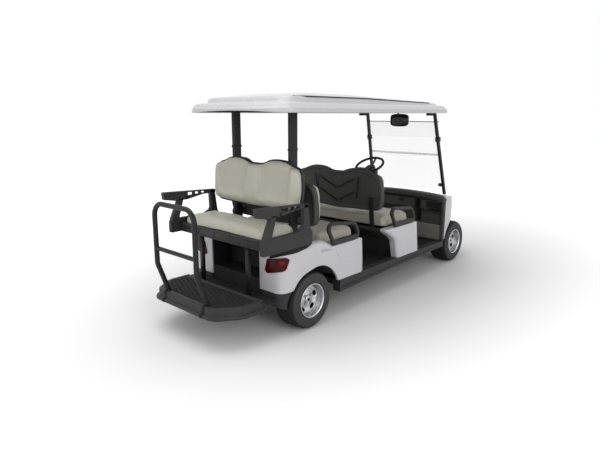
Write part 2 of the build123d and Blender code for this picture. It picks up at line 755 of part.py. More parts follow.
# ---------------------------------------------------------------- rear seat frame
frame_half, frame_w = body_half, 40.0
beam_top, rest_top = flip_hinge_z - 3, rear_deck_top + 340
with BuildPart() as rear_seat_frame:
    for side in (-1, 1):
        with BuildSketch(side_plane(side * (frame_half - frame_w / 2))):
            with BuildLine():
                FilletPolyline(
                    (rear_axle_x - 508, rear_deck_top),
                    (rear_axle_x + 4, rear_deck_top),
                    (rear_axle_x + 4, rear_deck_top + 100),
                    (rear_axle_x - 18, rear_deck_top + 135),
                    (rear_axle_x - 41, rest_top - 20),
                    (rear_axle_x - 96, rest_top - 20),
                    (rear_axle_x - 92, rear_deck_top + 145),
                    (rear_axle_x - 144, rear_deck_top + 122),
                    (rear_axle_x - 496, rear_deck_top + 115),
                    (rear_axle_x - 508, rear_deck_top + 90),
                    radius=(0, 12, 20, 20, 0, 0, 20, 24, 10, 8), close=True,
                )
            make_face()
            with BuildLine():
                Polyline(
                    (rear_axle_x - 502, rear_deck_top + 112),
                    (rear_axle_x - 412, rear_deck_top + 112),
                    (rear_axle_x - 358, rest_top - 66),
                    (rear_axle_x - 446, rest_top - 66),
                    close=True,
                )
            make_face()
            with BuildLine():
                FilletPolyline(
                    (rear_axle_x - 566, rest_top + 4),
                    (rear_axle_x - 36, rest_top - 20),
                    (rear_axle_x - 36, rest_top - 46),
                    (rear_axle_x - 176, rest_top - 50),
                    (rear_axle_x - 352, rest_top - 78),
                    (rear_axle_x - 450, rest_top - 78),
                    (rear_axle_x - 560, rest_top - 58),
                    radius=(8, 8, 8, 40, 30, 20, 8), close=True,
                )
            make_face()
            with Locations((rear_axle_x - 299, rest_top - 35), (rear_axle_x - 231, rest_top - 34), (rear_axle_x - 166, rest_top - 32)):
                SlotOverall(42, 14, mode=Mode.SUBTRACT)
        extrude(amount=frame_w / 2, both=True)
    for x in (strut_x, flip_hinge_x + flip_depth - 30):
        with BuildSketch(Plane.XY.offset(rear_deck_top)):
            with Locations((x, 0)):
                Rectangle(40, 2 * (frame_half - frame_w / 2))
        extrude(amount=beam_top - rear_deck_top)
    for side in (-1, 1):
        with BuildSketch(side_plane(side * (pin_in + cushion_half) / 2)):
            with Locations((flip_hinge_x, flip_hinge_z)):
                Circle(barrel_r + 6)
        extrude(amount=(cushion_half - pin_in) / 2 + 8, both=True, mode=Mode.SUBTRACT)
        with BuildSketch(side_plane(side * (pin_in + frame_half - frame_w + 5) / 2)):
            with Locations((flip_hinge_x, flip_hinge_z)):
                Circle(pin_r)
        extrude(amount=(frame_half - frame_w + 5 - pin_in) / 2, both=True)
        with BuildSketch(Plane.XY.offset(rail_top)):
            with Locations((strut_x, side * strut_y)):
                Rectangle(30, 35)
        extrude(amount=rear_deck_top - rail_top)
save(rear_seat_frame, "rear_seat_frame")

# ---------------------------------------------------------------- footplate and grab bar
plate_front_x, plate_rear_x = rail_rear_x, rear_axle_x - 808
plate_half, plate_top, plate_low = seat_half - 13, sill_top + 6, rail_bottom
skirt_step, skirt_h, lip_w = 22.0, 25.0, 42.0


def plate_points(inset, front_inset):
    """Footplate outline in plan, set in from the skirt: x, y, corner radius."""
    edge = [
        (plate_front_x - front_inset, plate_half - inset, 0),
        (plate_rear_x + 190 + 0.31 * inset, plate_half - inset, 150 - inset),
        (plate_rear_x + inset, plate_half - 130 - 0.53 * inset, 110 - inset),
    ]
    return edge + [(x, -y, r) for x, y, r in reversed(edge)]


plate_tiers = [  # low, high, inset, inset of the front edge, added or cut away
    (plate_low, plate_low + skirt_h, 0, 0, Mode.ADD),
    (plate_low, plate_top, skirt_step, 0, Mode.ADD),
    (plate_low, plate_low + skirt_h - 8, 10, 10, Mode.SUBTRACT),
    (plate_low, plate_top - 22, skirt_step + 10, 10, Mode.SUBTRACT),
    (plate_top - 10, plate_top, skirt_step + lip_w, 40, Mode.SUBTRACT),
]
with BuildPart() as footplate:
    for low, high, inset, front_inset, mode in plate_tiers:
        ring = plate_points(inset, front_inset)
        with BuildSketch(Plane.XY.offset(low)):
            with BuildLine():
                FilletPolyline(*[(x, y) for x, y, r in ring], radius=[r for x, y, r in ring], close=True)
            make_face()
        extrude(amount=high - low, mode=mode)
    with BuildSketch(Plane.XY.offset(plate_top - 12)):
        for count in range(8):
            with Locations((plate_front_x - 78 - 36 * count, 0)):
                Rectangle(12, 1.2 * seat_half)
    extrude(amount=10)
save(footplate, "footplate")

bar_r, bar_half = 19.0, 245.0
bar_x = rear_axle_x - rear_overhang + bar_r
bar_foot_x, kink_z, bar_top = rear_axle_x - 745, plate_top + 232, plate_top + 712
with BuildPart() as grab_bar:
    with BuildLine():
        FilletPolyline(
            (bar_foot_x, bar_half, plate_top - 12), (bar_x, bar_half, kink_z), (bar_x, bar_half, bar_top - bar_r),
            (bar_x, -bar_half, bar_top - bar_r), (bar_x, -bar_half, kink_z), (bar_foot_x, -bar_half, plate_top - 12),
            radius=(60, 100, 100, 60),
        )
    foot_normal = (bar_x - bar_foot_x, 0, kink_z - plate_top + 12)
    with BuildSketch(Plane(origin=(bar_foot_x, bar_half, plate_top - 12), z_dir=foot_normal)):
        Circle(bar_r)
    sweep()
    with BuildSketch(side_plane(0)):
        with Locations((bar_x, plate_top + 350)):
            Circle(bar_r - 3)
    extrude(amount=bar_half, both=True)
    add(footplate.part, mode=Mode.SUBTRACT)
save(grab_bar, "grab_bar")

# ---------------------------------------------------------------- steering
column_angle = 62.0
wheel_centre = Vector(dash_x - 205, 260, dash_top + 300)
column_up = Vector(-cos(radians(column_angle)), 0, sin(radians(column_angle)))
steer_plane = Plane(origin=wheel_centre, x_dir=(0, 1, 0), z_dir=column_up)
wheel_r, wheel_rim_r = 165.0, 14.0
shaft_r, hub_gap = 11.0, 6.0
hub_low, hub_high = -62.0, -30.0
with BuildPart() as steering_column:
    with BuildSketch(steer_plane.offset(hub_low - hub_gap)):
        RectangleRounded(150, 96, 30)
    extrude(amount=-90, taper=12)
    with BuildSketch(steer_plane.offset(hub_low - hub_gap - 80)):
        Circle(28)
    extrude(amount=-340)
    with BuildSketch(steer_plane.offset(hub_low - hub_gap)):
        Circle(shaft_r)
    extrude(amount=hub_gap + hub_high - hub_low)
    add(dashboard.part, mode=Mode.SUBTRACT)
    column_whole = steering_column.solids().sort_by(Axis.Z)[-1]
with BuildPart() as steering_column:
    add(column_whole)
save(steering_column, "steering_column")

with BuildPart() as steering_wheel:
    with BuildSketch(Plane(origin=wheel_centre, x_dir=(0, 1, 0), z_dir=Vector(0, 1, 0).cross(column_up))):
        with Locations((wheel_r, 0)):
            Circle(wheel_rim_r)
    revolve(axis=Axis(wheel_centre, column_up))
    with BuildSketch(steer_plane.offset(hub_low)):
        Circle(56)
        Circle(shaft_r + 0.05, mode=Mode.SUBTRACT)
    extrude(amount=hub_high - hub_low)
    with BuildSketch(steer_plane.offset(hub_high)):
        Circle(56)
    extrude(amount=14, taper=20)
    for turn in (0, 120, 240):
        spoke_out = steer_plane.x_dir * cos(radians(turn - 90)) + steer_plane.y_dir * sin(radians(turn - 90))
        spoke_foot = wheel_centre + column_up * (hub_high + 2) + spoke_out * 44
        spoke_tip = wheel_centre + spoke_out * wheel_r
        with BuildSketch(Plane(origin=spoke_foot, z_dir=spoke_tip - spoke_foot)):
            Circle(9)
        extrude(amount=(spoke_tip - spoke_foot).length)
save(steering_wheel, "steering_wheel")

# ---------------------------------------------------------------- axles
knuckle_low, knuckle_high, yoke_gap, yoke_t = -50.0, 50.0, 6.0, 14.0
kingpin_r, spindle_r, knuckle_r = 10.0, 12.5, 20.0
drop_low, drop_high = rail_bottom - 65, rail_bottom - 25
spindle_tip = 62.0                         # spindle tip past the wheel's middle plane
with BuildPart() as front_axle:
    yoke_in = kingpin_y - 52
    with BuildSketch(Plane.XY.offset(drop_low)):
        with Locations((front_axle_x, 0)):
            Rectangle(46, 2 * (yoke_in + 18))
    extrude(amount=drop_high - drop_low)
    for side in (-1, 1):
        with BuildSketch(Plane.XY.offset(tyre_radius + knuckle_low - yoke_gap - yoke_t)):
            with Locations((front_axle_x, side * (yoke_in + 9))):
                Rectangle(40, 18)
        extrude(amount=knuckle_high - knuckle_low + 2 * yoke_gap + 2 * yoke_t)
        for low in (knuckle_low - yoke_gap - yoke_t, knuckle_high + yoke_gap):
            with BuildSketch(Plane.XY.offset(tyre_radius + low)):
                with Locations((front_axle_x, side * (yoke_in + kingpin_y) / 2)):
                    Rectangle(40, kingpin_y - yoke_in)
                with Locations((front_axle_x, side * kingpin_y)):
                    Circle(20)
                    Circle(kingpin_r + 0.05, mode=Mode.SUBTRACT)
            extrude(amount=yoke_t)
    with BuildSketch(Plane.XY.offset(drop_high)):
        for side in (-1, 1):
            with Locations((front_axle_x, side * rail_y)):
                Rectangle(300, 50)
    extrude(amount=rail_bottom - drop_high)
save(front_axle, "front_axle")

for name, side in (("left", 1), ("right", -1)):
    with BuildPart() as knuckle:
        with BuildSketch(Plane.XY.offset(tyre_radius + knuckle_low)):
            with Locations((front_axle_x, side * kingpin_y)):
                Circle(knuckle_r)
        extrude(amount=knuckle_high - knuckle_low)
        with BuildSketch(Plane.XY.offset(tyre_radius + knuckle_low - yoke_gap - yoke_t)):
            with Locations((front_axle_x, side * kingpin_y)):
                Circle(kingpin_r)
        extrude(amount=knuckle_high - knuckle_low + 2 * yoke_gap + 2 * yoke_t)
        with BuildSketch(Plane.XZ.offset(-side * kingpin_y)):
            with Locations((front_axle_x, tyre_radius)):
                Circle(spindle_r)
        extrude(amount=-side * (front_wheel_y + spindle_tip - kingpin_y))
    save(knuckle, f"knuckle_{name}")

axle_tube_r, drum_r, gear_r, motor_r = 27.0, 80.0, 82.0, 75.0
with BuildPart() as rear_axle:
    for x, z, radius, start, end in (
        (0, 0, axle_tube_r, 90 - rear_wheel_y, rear_wheel_y - 90),
        (0, 0, gear_r, -70, 70),
        (135, 20, motor_r, -70, 140),
        (0, 0, spindle_r, -rear_wheel_y - spindle_tip, rear_wheel_y + spindle_tip),
        (0, 0, drum_r, rear_wheel_y - 100, rear_wheel_y - 50),
        (0, 0, drum_r, 50 - rear_wheel_y, 100 - rear_wheel_y),
    ):
        with BuildSketch(side_plane(end)):
            with Locations((rear_axle_x + x, tyre_radius + z)):
                Circle(radius)
        extrude(amount=end - start)
save(rear_axle, "rear_axle")

spring_y, leaf_t, leaf_w = 270.0, 7.0, 45.0
leaves = [(-3, 283.0), (0, 200.0), (0, 120.0)]    # centre from the axle, half length
with BuildPart() as leaf_springs:
    for side in (-1, 1):
        for count, (centre, half) in enumerate(leaves):
            with BuildSketch(Plane.XY.offset(tyre_radius + axle_tube_r + count * leaf_t)):
                with Locations((rear_axle_x + centre, side * spring_y)):
                    Rectangle(2 * half, leaf_w)
            extrude(amount=leaf_t)
save(leaf_springs, "leaf_springs")

with BuildPart() as battery_pack:
    with BuildSketch(Plane.XY.offset(floor_top)):
        with Locations((rear_axle_x + 490, 0)):
            RectangleRounded(240, 1.5 * seat_half, 15)
    extrude(amount=240)
save(battery_pack, "battery_pack")

# ---------------------------------------------------------------- wheels
barrel_t, flange_r, rim_half = 4.0, rim_radius + 10, tyre_width / 2 - 7
bead_half, disc_y, disc_t, hub_r = tyre_width / 2 - 13, 38.0, 6.0, 34.0
tyre_outside = [  # in from the side of the tread, radius
    (13, rim_radius), (13, flange_r + 1), (0, 0.72 * tyre_radius), (6, 0.9 * tyre_radius), (36, tyre_radius),
]
tyre_inside = [(24, rim_radius), (12, 0.76 * tyre_radius), (42, tyre_radius - 15)]
wheels = {
    "front_left": (front_axle_x, front_wheel_y),
    "front_right": (front_axle_x, -front_wheel_y),
    "rear_left": (rear_axle_x, rear_wheel_y),
    "rear_right": (rear_axle_x, -rear_wheel_y),
}
for name, (x, y) in wheels.items():
    side = 1 if y > 0 else -1
    spin = Axis((x, y, tyre_radius), (0, 1, 0))
    section = Plane(origin=(x, y, tyre_radius), x_dir=(0, side, 0), z_dir=(side, 0, 0))
    outer = [(a - tyre_width / 2, r) for a, r in tyre_outside]
    inner = [(a - tyre_width / 2, r) for a, r in tyre_inside]
    with BuildPart() as tyre:
        with BuildSketch(section):
            with BuildLine():
                Polyline(
                    *outer, *[(-a, r) for a, r in reversed(outer)],
                    *[(-a, r) for a, r in inner], *reversed(inner), close=True,
                )
            make_face()
        revolve(axis=spin)
    save(tyre, f"tyre_{name}")
    with BuildPart() as rim:
        with BuildSketch(section):
            with BuildLine():
                Polyline(
                    (-rim_half, rim_radius - barrel_t), (-rim_half, flange_r), (-bead_half, flange_r),
                    (-bead_half, rim_radius), (bead_half, rim_radius), (bead_half, flange_r),
                    (rim_half, flange_r), (rim_half, rim_radius - barrel_t), close=True,
                )
            make_face()
            with BuildLine():
                Polyline(
                    (disc_y, spindle_r + 0.05), (disc_y, hub_r), (disc_y - 14, hub_r + 28),
                    (disc_y - 6, rim_radius - barrel_t), (disc_y - 6 + disc_t, rim_radius - barrel_t),
                    (disc_y - 14 + disc_t, hub_r + 28), (disc_y + disc_t + 8, hub_r - 4),
                    (disc_y + disc_t + 8, spindle_r + 0.05), close=True,
                )
            make_face()
        revolve(axis=spin)
        with BuildSketch(Plane(origin=(x, y, tyre_radius), x_dir=(1, 0, 0), z_dir=(0, side, 0))):
            with PolarLocations(0.7 * rim_radius, 5):
                SlotOverall(50, 26, rotation=90)
        extrude(amount=100, mode=Mode.SUBTRACT)
    save(rim, f"rim_{name}")
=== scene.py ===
"""Dresses the six-seat golf cart: finishes, moulded body skins, tyres, wheels, seats and trim.

Metres, in the CAD frame: X to the nose, Y to the driver's side, Z up from the ground.
"""

import math

import bmesh
import bpy
import numpy as np
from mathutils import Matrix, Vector


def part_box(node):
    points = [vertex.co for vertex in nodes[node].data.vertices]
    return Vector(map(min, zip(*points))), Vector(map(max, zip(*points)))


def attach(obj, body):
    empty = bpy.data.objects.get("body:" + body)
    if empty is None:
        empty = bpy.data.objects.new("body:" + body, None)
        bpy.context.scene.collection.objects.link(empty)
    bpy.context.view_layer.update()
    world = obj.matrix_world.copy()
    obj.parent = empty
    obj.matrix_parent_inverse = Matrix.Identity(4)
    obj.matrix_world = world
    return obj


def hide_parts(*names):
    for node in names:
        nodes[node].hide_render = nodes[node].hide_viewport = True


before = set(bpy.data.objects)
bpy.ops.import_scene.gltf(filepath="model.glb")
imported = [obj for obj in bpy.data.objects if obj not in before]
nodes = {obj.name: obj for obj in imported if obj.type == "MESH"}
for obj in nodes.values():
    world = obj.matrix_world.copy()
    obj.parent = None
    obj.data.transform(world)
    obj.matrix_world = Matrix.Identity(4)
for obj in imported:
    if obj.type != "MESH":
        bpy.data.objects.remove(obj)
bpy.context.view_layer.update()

# ---------------- stations, as in the part's source
REAR_AXLE, FRONT_AXLE = -1.059, 1.456
REAR_TRACK, FRONT_TRACK = 0.483, 0.426    # wheel centres from the middle
MID_SEAT, FRONT_SEAT = -0.859, 0.051      # rear edges of the forward-facing cushions
DASH = 1.071                              # rear edge of the cowl
SEAT_BOX, REAR_DECK, SILL = 0.615, 0.68, 0.312
BODY_HALF = 0.575
TYRE_R = 0.229
SIDES = (-1, 1)
WHEELS = {f"{end}_{side}": (x, sign * half)
          for end, x, half in (("front", FRONT_AXLE, FRONT_TRACK), ("rear", REAR_AXLE, REAR_TRACK))
          for side, sign in (("left", 1), ("right", -1))}
MM = 0.001


def mm(*rows):
    """Sizes in millimetres, or rows of them, as an array in metres."""
    return MM * np.array(rows, float)


# ---------------- colour and node helpers
def linear(code, alpha=1.0):
    """An sRGB hex colour as linear RGBA."""
    rgb = np.array([int(code[i:i + 2], 16) / 255 for i in (0, 2, 4)])
    rgb = np.where(rgb <= 0.04045, rgb / 12.92, ((rgb + 0.055) / 1.055) ** 2.4)
    return (*rgb, alpha)


def add(tree, kind, inputs=None, **settings):
    """Add one shader node, set its properties, and fill its sockets with values or links."""
    node = tree.nodes.new("ShaderNode" + kind)
    for key, value in settings.items():
        setattr(node, key, value)
    for socket, value in (inputs or {}).items():
        if isinstance(value, bpy.types.NodeSocket):
            tree.links.new(value, node.inputs[socket])
        else:
            node.inputs[socket].default_value = value
    return node


def relief(tree, place, kind, size_mm):
    """Height of a surface pattern of a size in mm.

    Grain is soft noise, slack is noise warped on itself, pebble is the distance to a cell's edge, capped, and ribs
    is a wave.
    """
    spot = {"Vector": place, "Scale": 1 / (size_mm * MM)}
    if kind == "pebble":
        cells = add(tree, "TexVoronoi", spot, feature="DISTANCE_TO_EDGE")
        return add(tree, "Math", {0: cells.outputs["Distance"], 1: 0.35}, operation="MINIMUM").outputs[0]
    if kind == "ribs":
        return add(tree, "TexWave", {**spot, "Scale": spot["Scale"] / 6.283}, bands_direction="X").outputs["Fac"]
    return add(tree, "TexNoise", {**spot, "Detail": 3.0, "Distortion": 0.6 * (kind == "slack")}).outputs["Fac"]


def finish(name, dark, light, blotch_mm, *layers, **constants):
    """A Principled shader: colour drifts between two hex shades in blotches, and bumps are laid one on another.

    Each layer is (kind, size in mm, depth in mm, strength), and the constants are the shader's own sockets.
    """
    material = bpy.data.materials.new(name)
    material.use_nodes = True
    tree = material.node_tree
    shader = tree.nodes["Principled BSDF"]
    for socket, value in constants.items():
        shader.inputs[socket.replace("_", " ")].default_value = value
    place = add(tree, "TexCoord").outputs["Object"]
    noise = add(tree, "TexNoise", {"Vector": place, "Scale": 1 / (blotch_mm * MM), "Detail": 4.0})
    mix = add(tree, "Mix", {"Factor": noise.outputs["Fac"], "A": linear(dark), "B": linear(light)}, data_type="RGBA")
    tree.links.new(mix.outputs["Result"], shader.inputs["Base Color"])
    below = {}
    for kind, size_mm, depth_mm, strength in layers:
        height = relief(tree, place, kind, size_mm)
        bump = add(tree, "Bump", {"Height": height, "Strength": strength, "Distance": depth_mm * MM, **below})
        below = {"Normal": bump.outputs["Normal"]}
    if layers:
        tree.links.new(below["Normal"], shader.inputs["Normal"])
    return material


# ---------------- finishes
# Moulded-in silver grey ABS with a clear gloss: even colour, soft wide reflections, faint orange peel.
BODY = finish("gloss_abs_silver_grey", "c2c1c4", "cac9cc", 260, ("grain", 7, 0.02, 0.25),
              Roughness=0.34, IOR=1.5, Coat_Weight=0.45, Coat_Roughness=0.12)
# Injection-moulded dark grey polypropylene: spark-eroded grain breaks up the highlight, drawn at 3 mm to show. The same
# grey paints shade along the roof's side channels.
DARK_AND_SHADE = finish("dark_polypropylene_and_painted_shade", "2c2c2d", "373738", 90, ("grain", 3, 0.12, 0.35),
              Roughness=0.52, IOR=1.49, Specular_IOR_Level=0.25)
# Vacuum-formed dash moulding, a touch browner and duller than the injection mouldings.
DASH_GREY = finish("vacuum_formed_dash", "3b3b3a", "484847", 120, ("grain", 3, 0.15, 0.4),
                   Roughness=0.58, IOR=1.49, Specular_IOR_Level=0.25)
# Grey scuff panel of textured vinyl, lighter than the dash above it and dulled by shoes.
KICK = finish("textured_kick_vinyl", "6c6b67", "7a7974", 80, ("grain", 4, 0.2, 0.4), Roughness=0.66, IOR=1.5)
# Hinge strip of milky polycarbonate between the two windscreen panes: light grey, half see-through.
FROSTED = finish("milky_polycarbonate_strip", "c6cacc", "d6dadc", 40, Roughness=0.35, IOR=1.58, Alpha=0.35)
# Powder-coated steel tube: low dark sheen, with a slight leather texture from the cured powder.
COATED = finish("powder_coated_steel", "1a1a1c", "222224", 60, ("grain", 4, 0.08, 0.4),
                Roughness=0.46, IOR=1.5, Specular_IOR_Level=0.25)
# Black chassis paint over welded steel, dulled by road dust.
CHASSIS = finish("chassis_paint_black", "1d1d1e", "333231", 45, ("grain", 6, 0.2, 0.4),
                 Roughness=0.62, IOR=1.5, Specular_IOR_Level=0.25)
# Calendered stone beige vinyl over foam: fine pebbles drawn at 4 mm to show, soft sheen, and a slack 38 mm ripple.
VINYL = finish("pebbled_vinyl_stone", "adaa9c", "bcb9ac", 140, ("pebble", 4, 0.15, 0.35), ("slack", 38, 2.5, 0.25),
               Roughness=0.46, IOR=1.5, Coat_Weight=0.08, Coat_Roughness=0.4)
# Cast acrylic sheet: nearly colourless, with a sharp surface reflection and a faint long wave.
ACRYLIC = finish("cast_acrylic_clear", "e8eeec", "e8eeec", 100, ("grain", 180, 0.05, 0.05),
                 Roughness=0.03, IOR=1.49, Transmission_Weight=0.0, Alpha=0.1)
# Moulded polycarbonate lamp lenses: deep colour, wet gloss, and vertical optics 9 mm apart.
LENS = {"Roughness": 0.2, "IOR": 1.45, "Specular_IOR_Level": 0.16, "Coat_Weight": 0.05, "Coat_Roughness": 0.06}
OPTICS = ("ribs", 9, 0.6, 0.15)
RED_LENS = finish("polycarbonate_red_lens", "300103", "48050a", 30, OPTICS, **LENS)
RED_INSERT = finish("polycarbonate_red_reflector", "6a0407", "880a0f", 30, OPTICS, **LENS)
CLEAR_LENS = finish("polycarbonate_clear_lens", "c9ced2", "e3e7ea", 30, OPTICS, **LENS)
# Cured carbon-black rubber: matt, dusty grey, with a fine mould texture.
RUBBER = finish("cured_tyre_rubber", "333333", "414141", 35, ("grain", 3, 0.2, 0.5),
                Roughness=0.68, IOR=1.52, Specular_IOR_Level=0.25)
# Silver-painted cast wheel: bright metal flake under clear coat, softly rough.
ALLOY = finish("silver_wheel_paint", "b4b5b8", "c8c9cc", 8, ("grain", 2, 0.03, 0.2),
               Metallic=0.85, Roughness=0.3, Coat_Weight=0.4, Coat_Roughness=0.12)
# Machined and polished aluminium: mirror-like with very fine lathe rings.
LIP = finish("polished_aluminium_lip", "bdbdbf", "d0d0d2", 12, ("grain", 2, 0.01, 0.15), Metallic=1.0, Roughness=0.26)
# Black rubber matting: matt, with a dusty bloom. The same black is painted shade on the tyre tread, behind the wheel
# slots, under the tray's rear corners, on the seat back shells and on the sheets under the bag well and tail.
MAT_AND_SHADE = finish("black_rubber_and_painted_shade", "141415", "202021", 50, ("grain", 5, 0.2, 0.4),
             Roughness=0.72, IOR=1.5, Specular_IOR_Level=0.25)
# Smoked anti-dazzle mirror glass: almost black face on, with a sharp thin reflection.
MIRROR = finish("smoked_mirror_glass", "18191b", "1d1f21", 80, Roughness=0.06, IOR=1.5, Specular_IOR_Level=0.3)
# Zinc-plated nuts: dull bluish silver with uneven passivation.
ZINC = finish("zinc_plated_steel", "8f9194", "a7a9ab", 6, ("grain", 2, 0.03, 0.3), Metallic=0.9, Roughness=0.36)

NODE_FINISH = {
    CHASSIS: ["chassis_frame", "front_axle", "knuckle_left", "knuckle_right", "rear_axle", "leaf_springs"],
    MAT_AND_SHADE: ["floor_pan", "bagwell"],
    DARK_AND_SHADE: ["sills", "rear_bumper", "wheel_liners", "front_seat_pod", "front_bumper", "mirror", "back_shell_rear",
           "armrests", "rear_seat_frame", "footplate", "steering_column", "steering_wheel", "battery_pack"],
    DASH_GREY: ["dashboard", "back_shell_front", "back_shell_mid"],
    BODY: ["rear_body", "pod_side_panels", "front_cowl", "roof"],
    COATED: ["roof_posts", "back_brackets", "grab_bar"],
    VINYL: ["cushion_front", "cushion_mid", "cushion_rear", "back_pad_front", "back_pad_mid", "back_pad_rear"],
    ACRYLIC: ["windscreen"],
    RED_LENS: ["tail_lamps"],
    CLEAR_LENS: ["headlamps"],
    RUBBER: ["tyre_" + place for place in WHEELS],
    ALLOY: ["rim_" + place for place in WHEELS],
}
for material, names in NODE_FINISH.items():
    for name in names:
        nodes[name].data.materials.clear()
        nodes[name].data.materials.append(material)


# ---------------- mesh helpers
def new_object(name, data):
    """One object in the scene."""
    item = bpy.data.objects.new(name, data)
    bpy.context.scene.collection.objects.link(item)
    return item


def skin(name, points, material, body="cart", close_u=False, close_v=False, smooth=True):
    """A grid of points, shaped (u, v, 3), as quads between neighbouring rows and columns, wrapped where closed.

    The object rides on the body, or on none while it is only raw material for another piece.
    """
    rows, cols = points.shape[:2]
    u = np.arange(rows if close_u else rows - 1)[:, None]
    v = np.arange(cols if close_v else cols - 1)[None, :]
    un, vn = (u + 1) % rows, (v + 1) % cols
    quads = np.stack([u * cols + v, un * cols + v, un * cols + vn, u * cols + vn], -1).reshape(-1, 4)
    mesh = bpy.data.meshes.new(name)
    mesh.from_pydata(points.reshape(-1, 3).tolist(), [], quads.tolist())
    mesh.validate()
    mesh.polygons.foreach_set("use_smooth", np.full(len(mesh.polygons), smooth))
    mesh.materials.append(material)
    piece = new_object(name, mesh)
    if body:
        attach(piece, body)
    return piece


def curve(points, count, closed=False):
    """Natural cubic spline through control points, sampled at even steps of chord length."""
    p = np.asarray(points, float)
    if closed:
        p = np.concatenate([p[-3:], p, p[:4]])
    t = np.concatenate([[0], np.cumsum(np.linalg.norm(np.diff(p, axis=0), axis=1))])
    h = np.diff(t)
    n = len(p)
    system = np.eye(n)
    inner = np.arange(1, n - 1)
    system[inner, inner - 1] = h[:-1]
    system[inner, inner] = 2 * (h[:-1] + h[1:])
    system[inner, inner + 1] = h[1:]
    right = np.zeros_like(p)
    right[1:-1] = 6 * (np.diff(p[1:], axis=0) / h[1:, None] - np.diff(p[:-1], axis=0) / h[:-1, None])
    m = np.linalg.solve(system, right)
    lo, hi = (t[3], t[-4]) if closed else (t[0], t[-1])
    s = np.linspace(lo, hi, count, endpoint=not closed)
    k = np.clip(np.searchsorted(t, s, side="right") - 1, 0, n - 2)
    a, b, w = (t[k + 1] - s)[:, None], (s - t[k])[:, None], h[k][:, None]
    bend = (m[k] * a**3 + m[k + 1] * b**3) / (6 * w)
    return bend + (p[k] / w - m[k] * w / 6) * a + (p[k + 1] / w - m[k + 1] * w / 6) * b


def ease(x, low, high):
    """0 below low, 1 above high, and a smooth cubic step between."""
    t = np.clip((x - low) / (high - low), 0, 1)
    return t * t * (3 - 2 * t)


def grid_of(x, y, z):
    """Three coordinates broadcast against each other into one array of points."""
    return np.stack(np.broadcast_arrays(x, y, z), -1)


def turns(count):
    """Evenly spaced angles round a full circle."""
    return np.linspace(0, 2 * np.pi, count, endpoint=False)


def unit(vectors):
    """Vectors scaled to length one along their last axis."""
    return vectors / np.linalg.norm(vectors, axis=-1, keepdims=True)


def outward(line):
    """Unit normals of a closed flat line: each point's chord turned outwards, where the line runs anticlockwise."""
    ahead = unit(np.roll(line, -1, 0) - np.roll(line, 1, 0))
    return np.stack([ahead[:, 1], -ahead[:, 0]], 1)


def squarish(wave, power):
    """A cosine or sine flattened towards a square wave: its sign times its size to a power below one."""
    return np.sign(wave) * np.abs(wave) ** power


def weld(piece, distance=1e-5):
    """Merge doubled points and turn every face of a closed skin outwards."""
    work = bmesh.new()
    work.from_mesh(piece.data)
    bmesh.ops.remove_doubles(work, verts=work.verts, dist=distance)
    bmesh.ops.recalc_face_normals(work, faces=work.faces)
    work.to_mesh(piece.data)
    work.free()
    return piece


def joined(name, pieces):
    """Several pieces as one mesh object that keeps their materials."""
    bpy.ops.object.select_all(action="DESELECT")
    for piece in pieces:
        piece.select_set(True)
    bpy.context.view_layer.objects.active = pieces[0]
    bpy.ops.object.join()
    pieces[0].name = name
    pieces[0].data.name = name
    return pieces[0]


def close_ends(piece, rows, cols):
    """Close the first and last ring of a skin with one face each, and turn every face outwards."""
    work = bmesh.new()
    work.from_mesh(piece.data)
    work.verts.ensure_lookup_table()
    for first in (0, (rows - 1) * cols):
        work.faces.new([work.verts[first + k] for k in range(cols)])
    bmesh.ops.recalc_face_normals(work, faces=work.faces)
    work.to_mesh(piece.data)
    work.free()


def tube(name, rings, material, body="cart"):
    """A closed skin through rings of equal count, with one face closing each end."""
    points = np.stack(list(rings))
    piece = skin(name, points, material, body, close_v=True)
    close_ends(piece, *points.shape[:2])
    return weld(piece)


def sweep(name, section, path, material, body="cart", up=(0, 0, 1)):
    """A closed section (n, 2) carried along a path (m, 3): across the path and along the given up direction."""
    path = np.asarray(path, float)
    ahead = unit(np.gradient(path, axis=0))
    side = unit(np.cross(np.broadcast_to(up, ahead.shape), ahead))
    over = np.cross(ahead, side)
    points = path[:, None] + side[:, None] * section[None, :, :1] + over[:, None] * section[None, :, 1:]
    return tube(name, points, material, body)


def sheet(piece, thickness, offset=0):
    """A wall of a thickness on an open skin: centred at 0, on its front at 1."""
    wall = piece.modifiers.new("sheet", "SOLIDIFY")
    wall.thickness, wall.offset = thickness, offset


def disc_of(radius, count):
    """A round section."""
    return radius * np.stack([np.cos(turns(count)), np.sin(turns(count))], 1)


def rounded_box(width, height, corner, per_corner=5):
    """A rounded-rectangle section: four quarter circles joined by straight sides."""
    angle = np.concatenate([np.linspace(q, q + np.pi / 2, per_corner) for q in np.arange(4) * np.pi / 2])
    cx = np.repeat([1, -1, -1, 1], per_corner) * (width / 2 - corner)
    cy = np.repeat([1, 1, -1, -1], per_corner) * (height / 2 - corner)
    return np.stack([cx + corner * np.cos(angle), cy + corner * np.sin(angle)], 1)


# ---------------- tyres
TYRE_HALF = mm((0, 229), (50, 228.5), (74, 226.5), (90, 219.5), (101.5, 205), (106.2, 184), (106.4, 166),
               (103.5, 150), (97.5, 140.5), (94.5, 128.5))
TYRE_BORE = mm((84, 128.5), (92, 150), (96.5, 170), (93.5, 195), (78, 212.5), (40, 216), (0, 216.5))
GROOVES, LUGS = (0.018, 0.052), 72        # grooves out from the middle, shoulder lugs round the tyre
GROOVE_DEEP, LUG_DEEP, SIPE_DEEP, RING_PROUD = mm(5.2, 3.4, 2.2, 1.1)


def about_axle(x, y, side, out, radius, angle):
    """Places at an outward offset and a radius, turned about a wheel's own axle line."""
    return grid_of(x + radius * np.cos(angle), y + side * out, TYRE_R + radius * np.sin(angle))


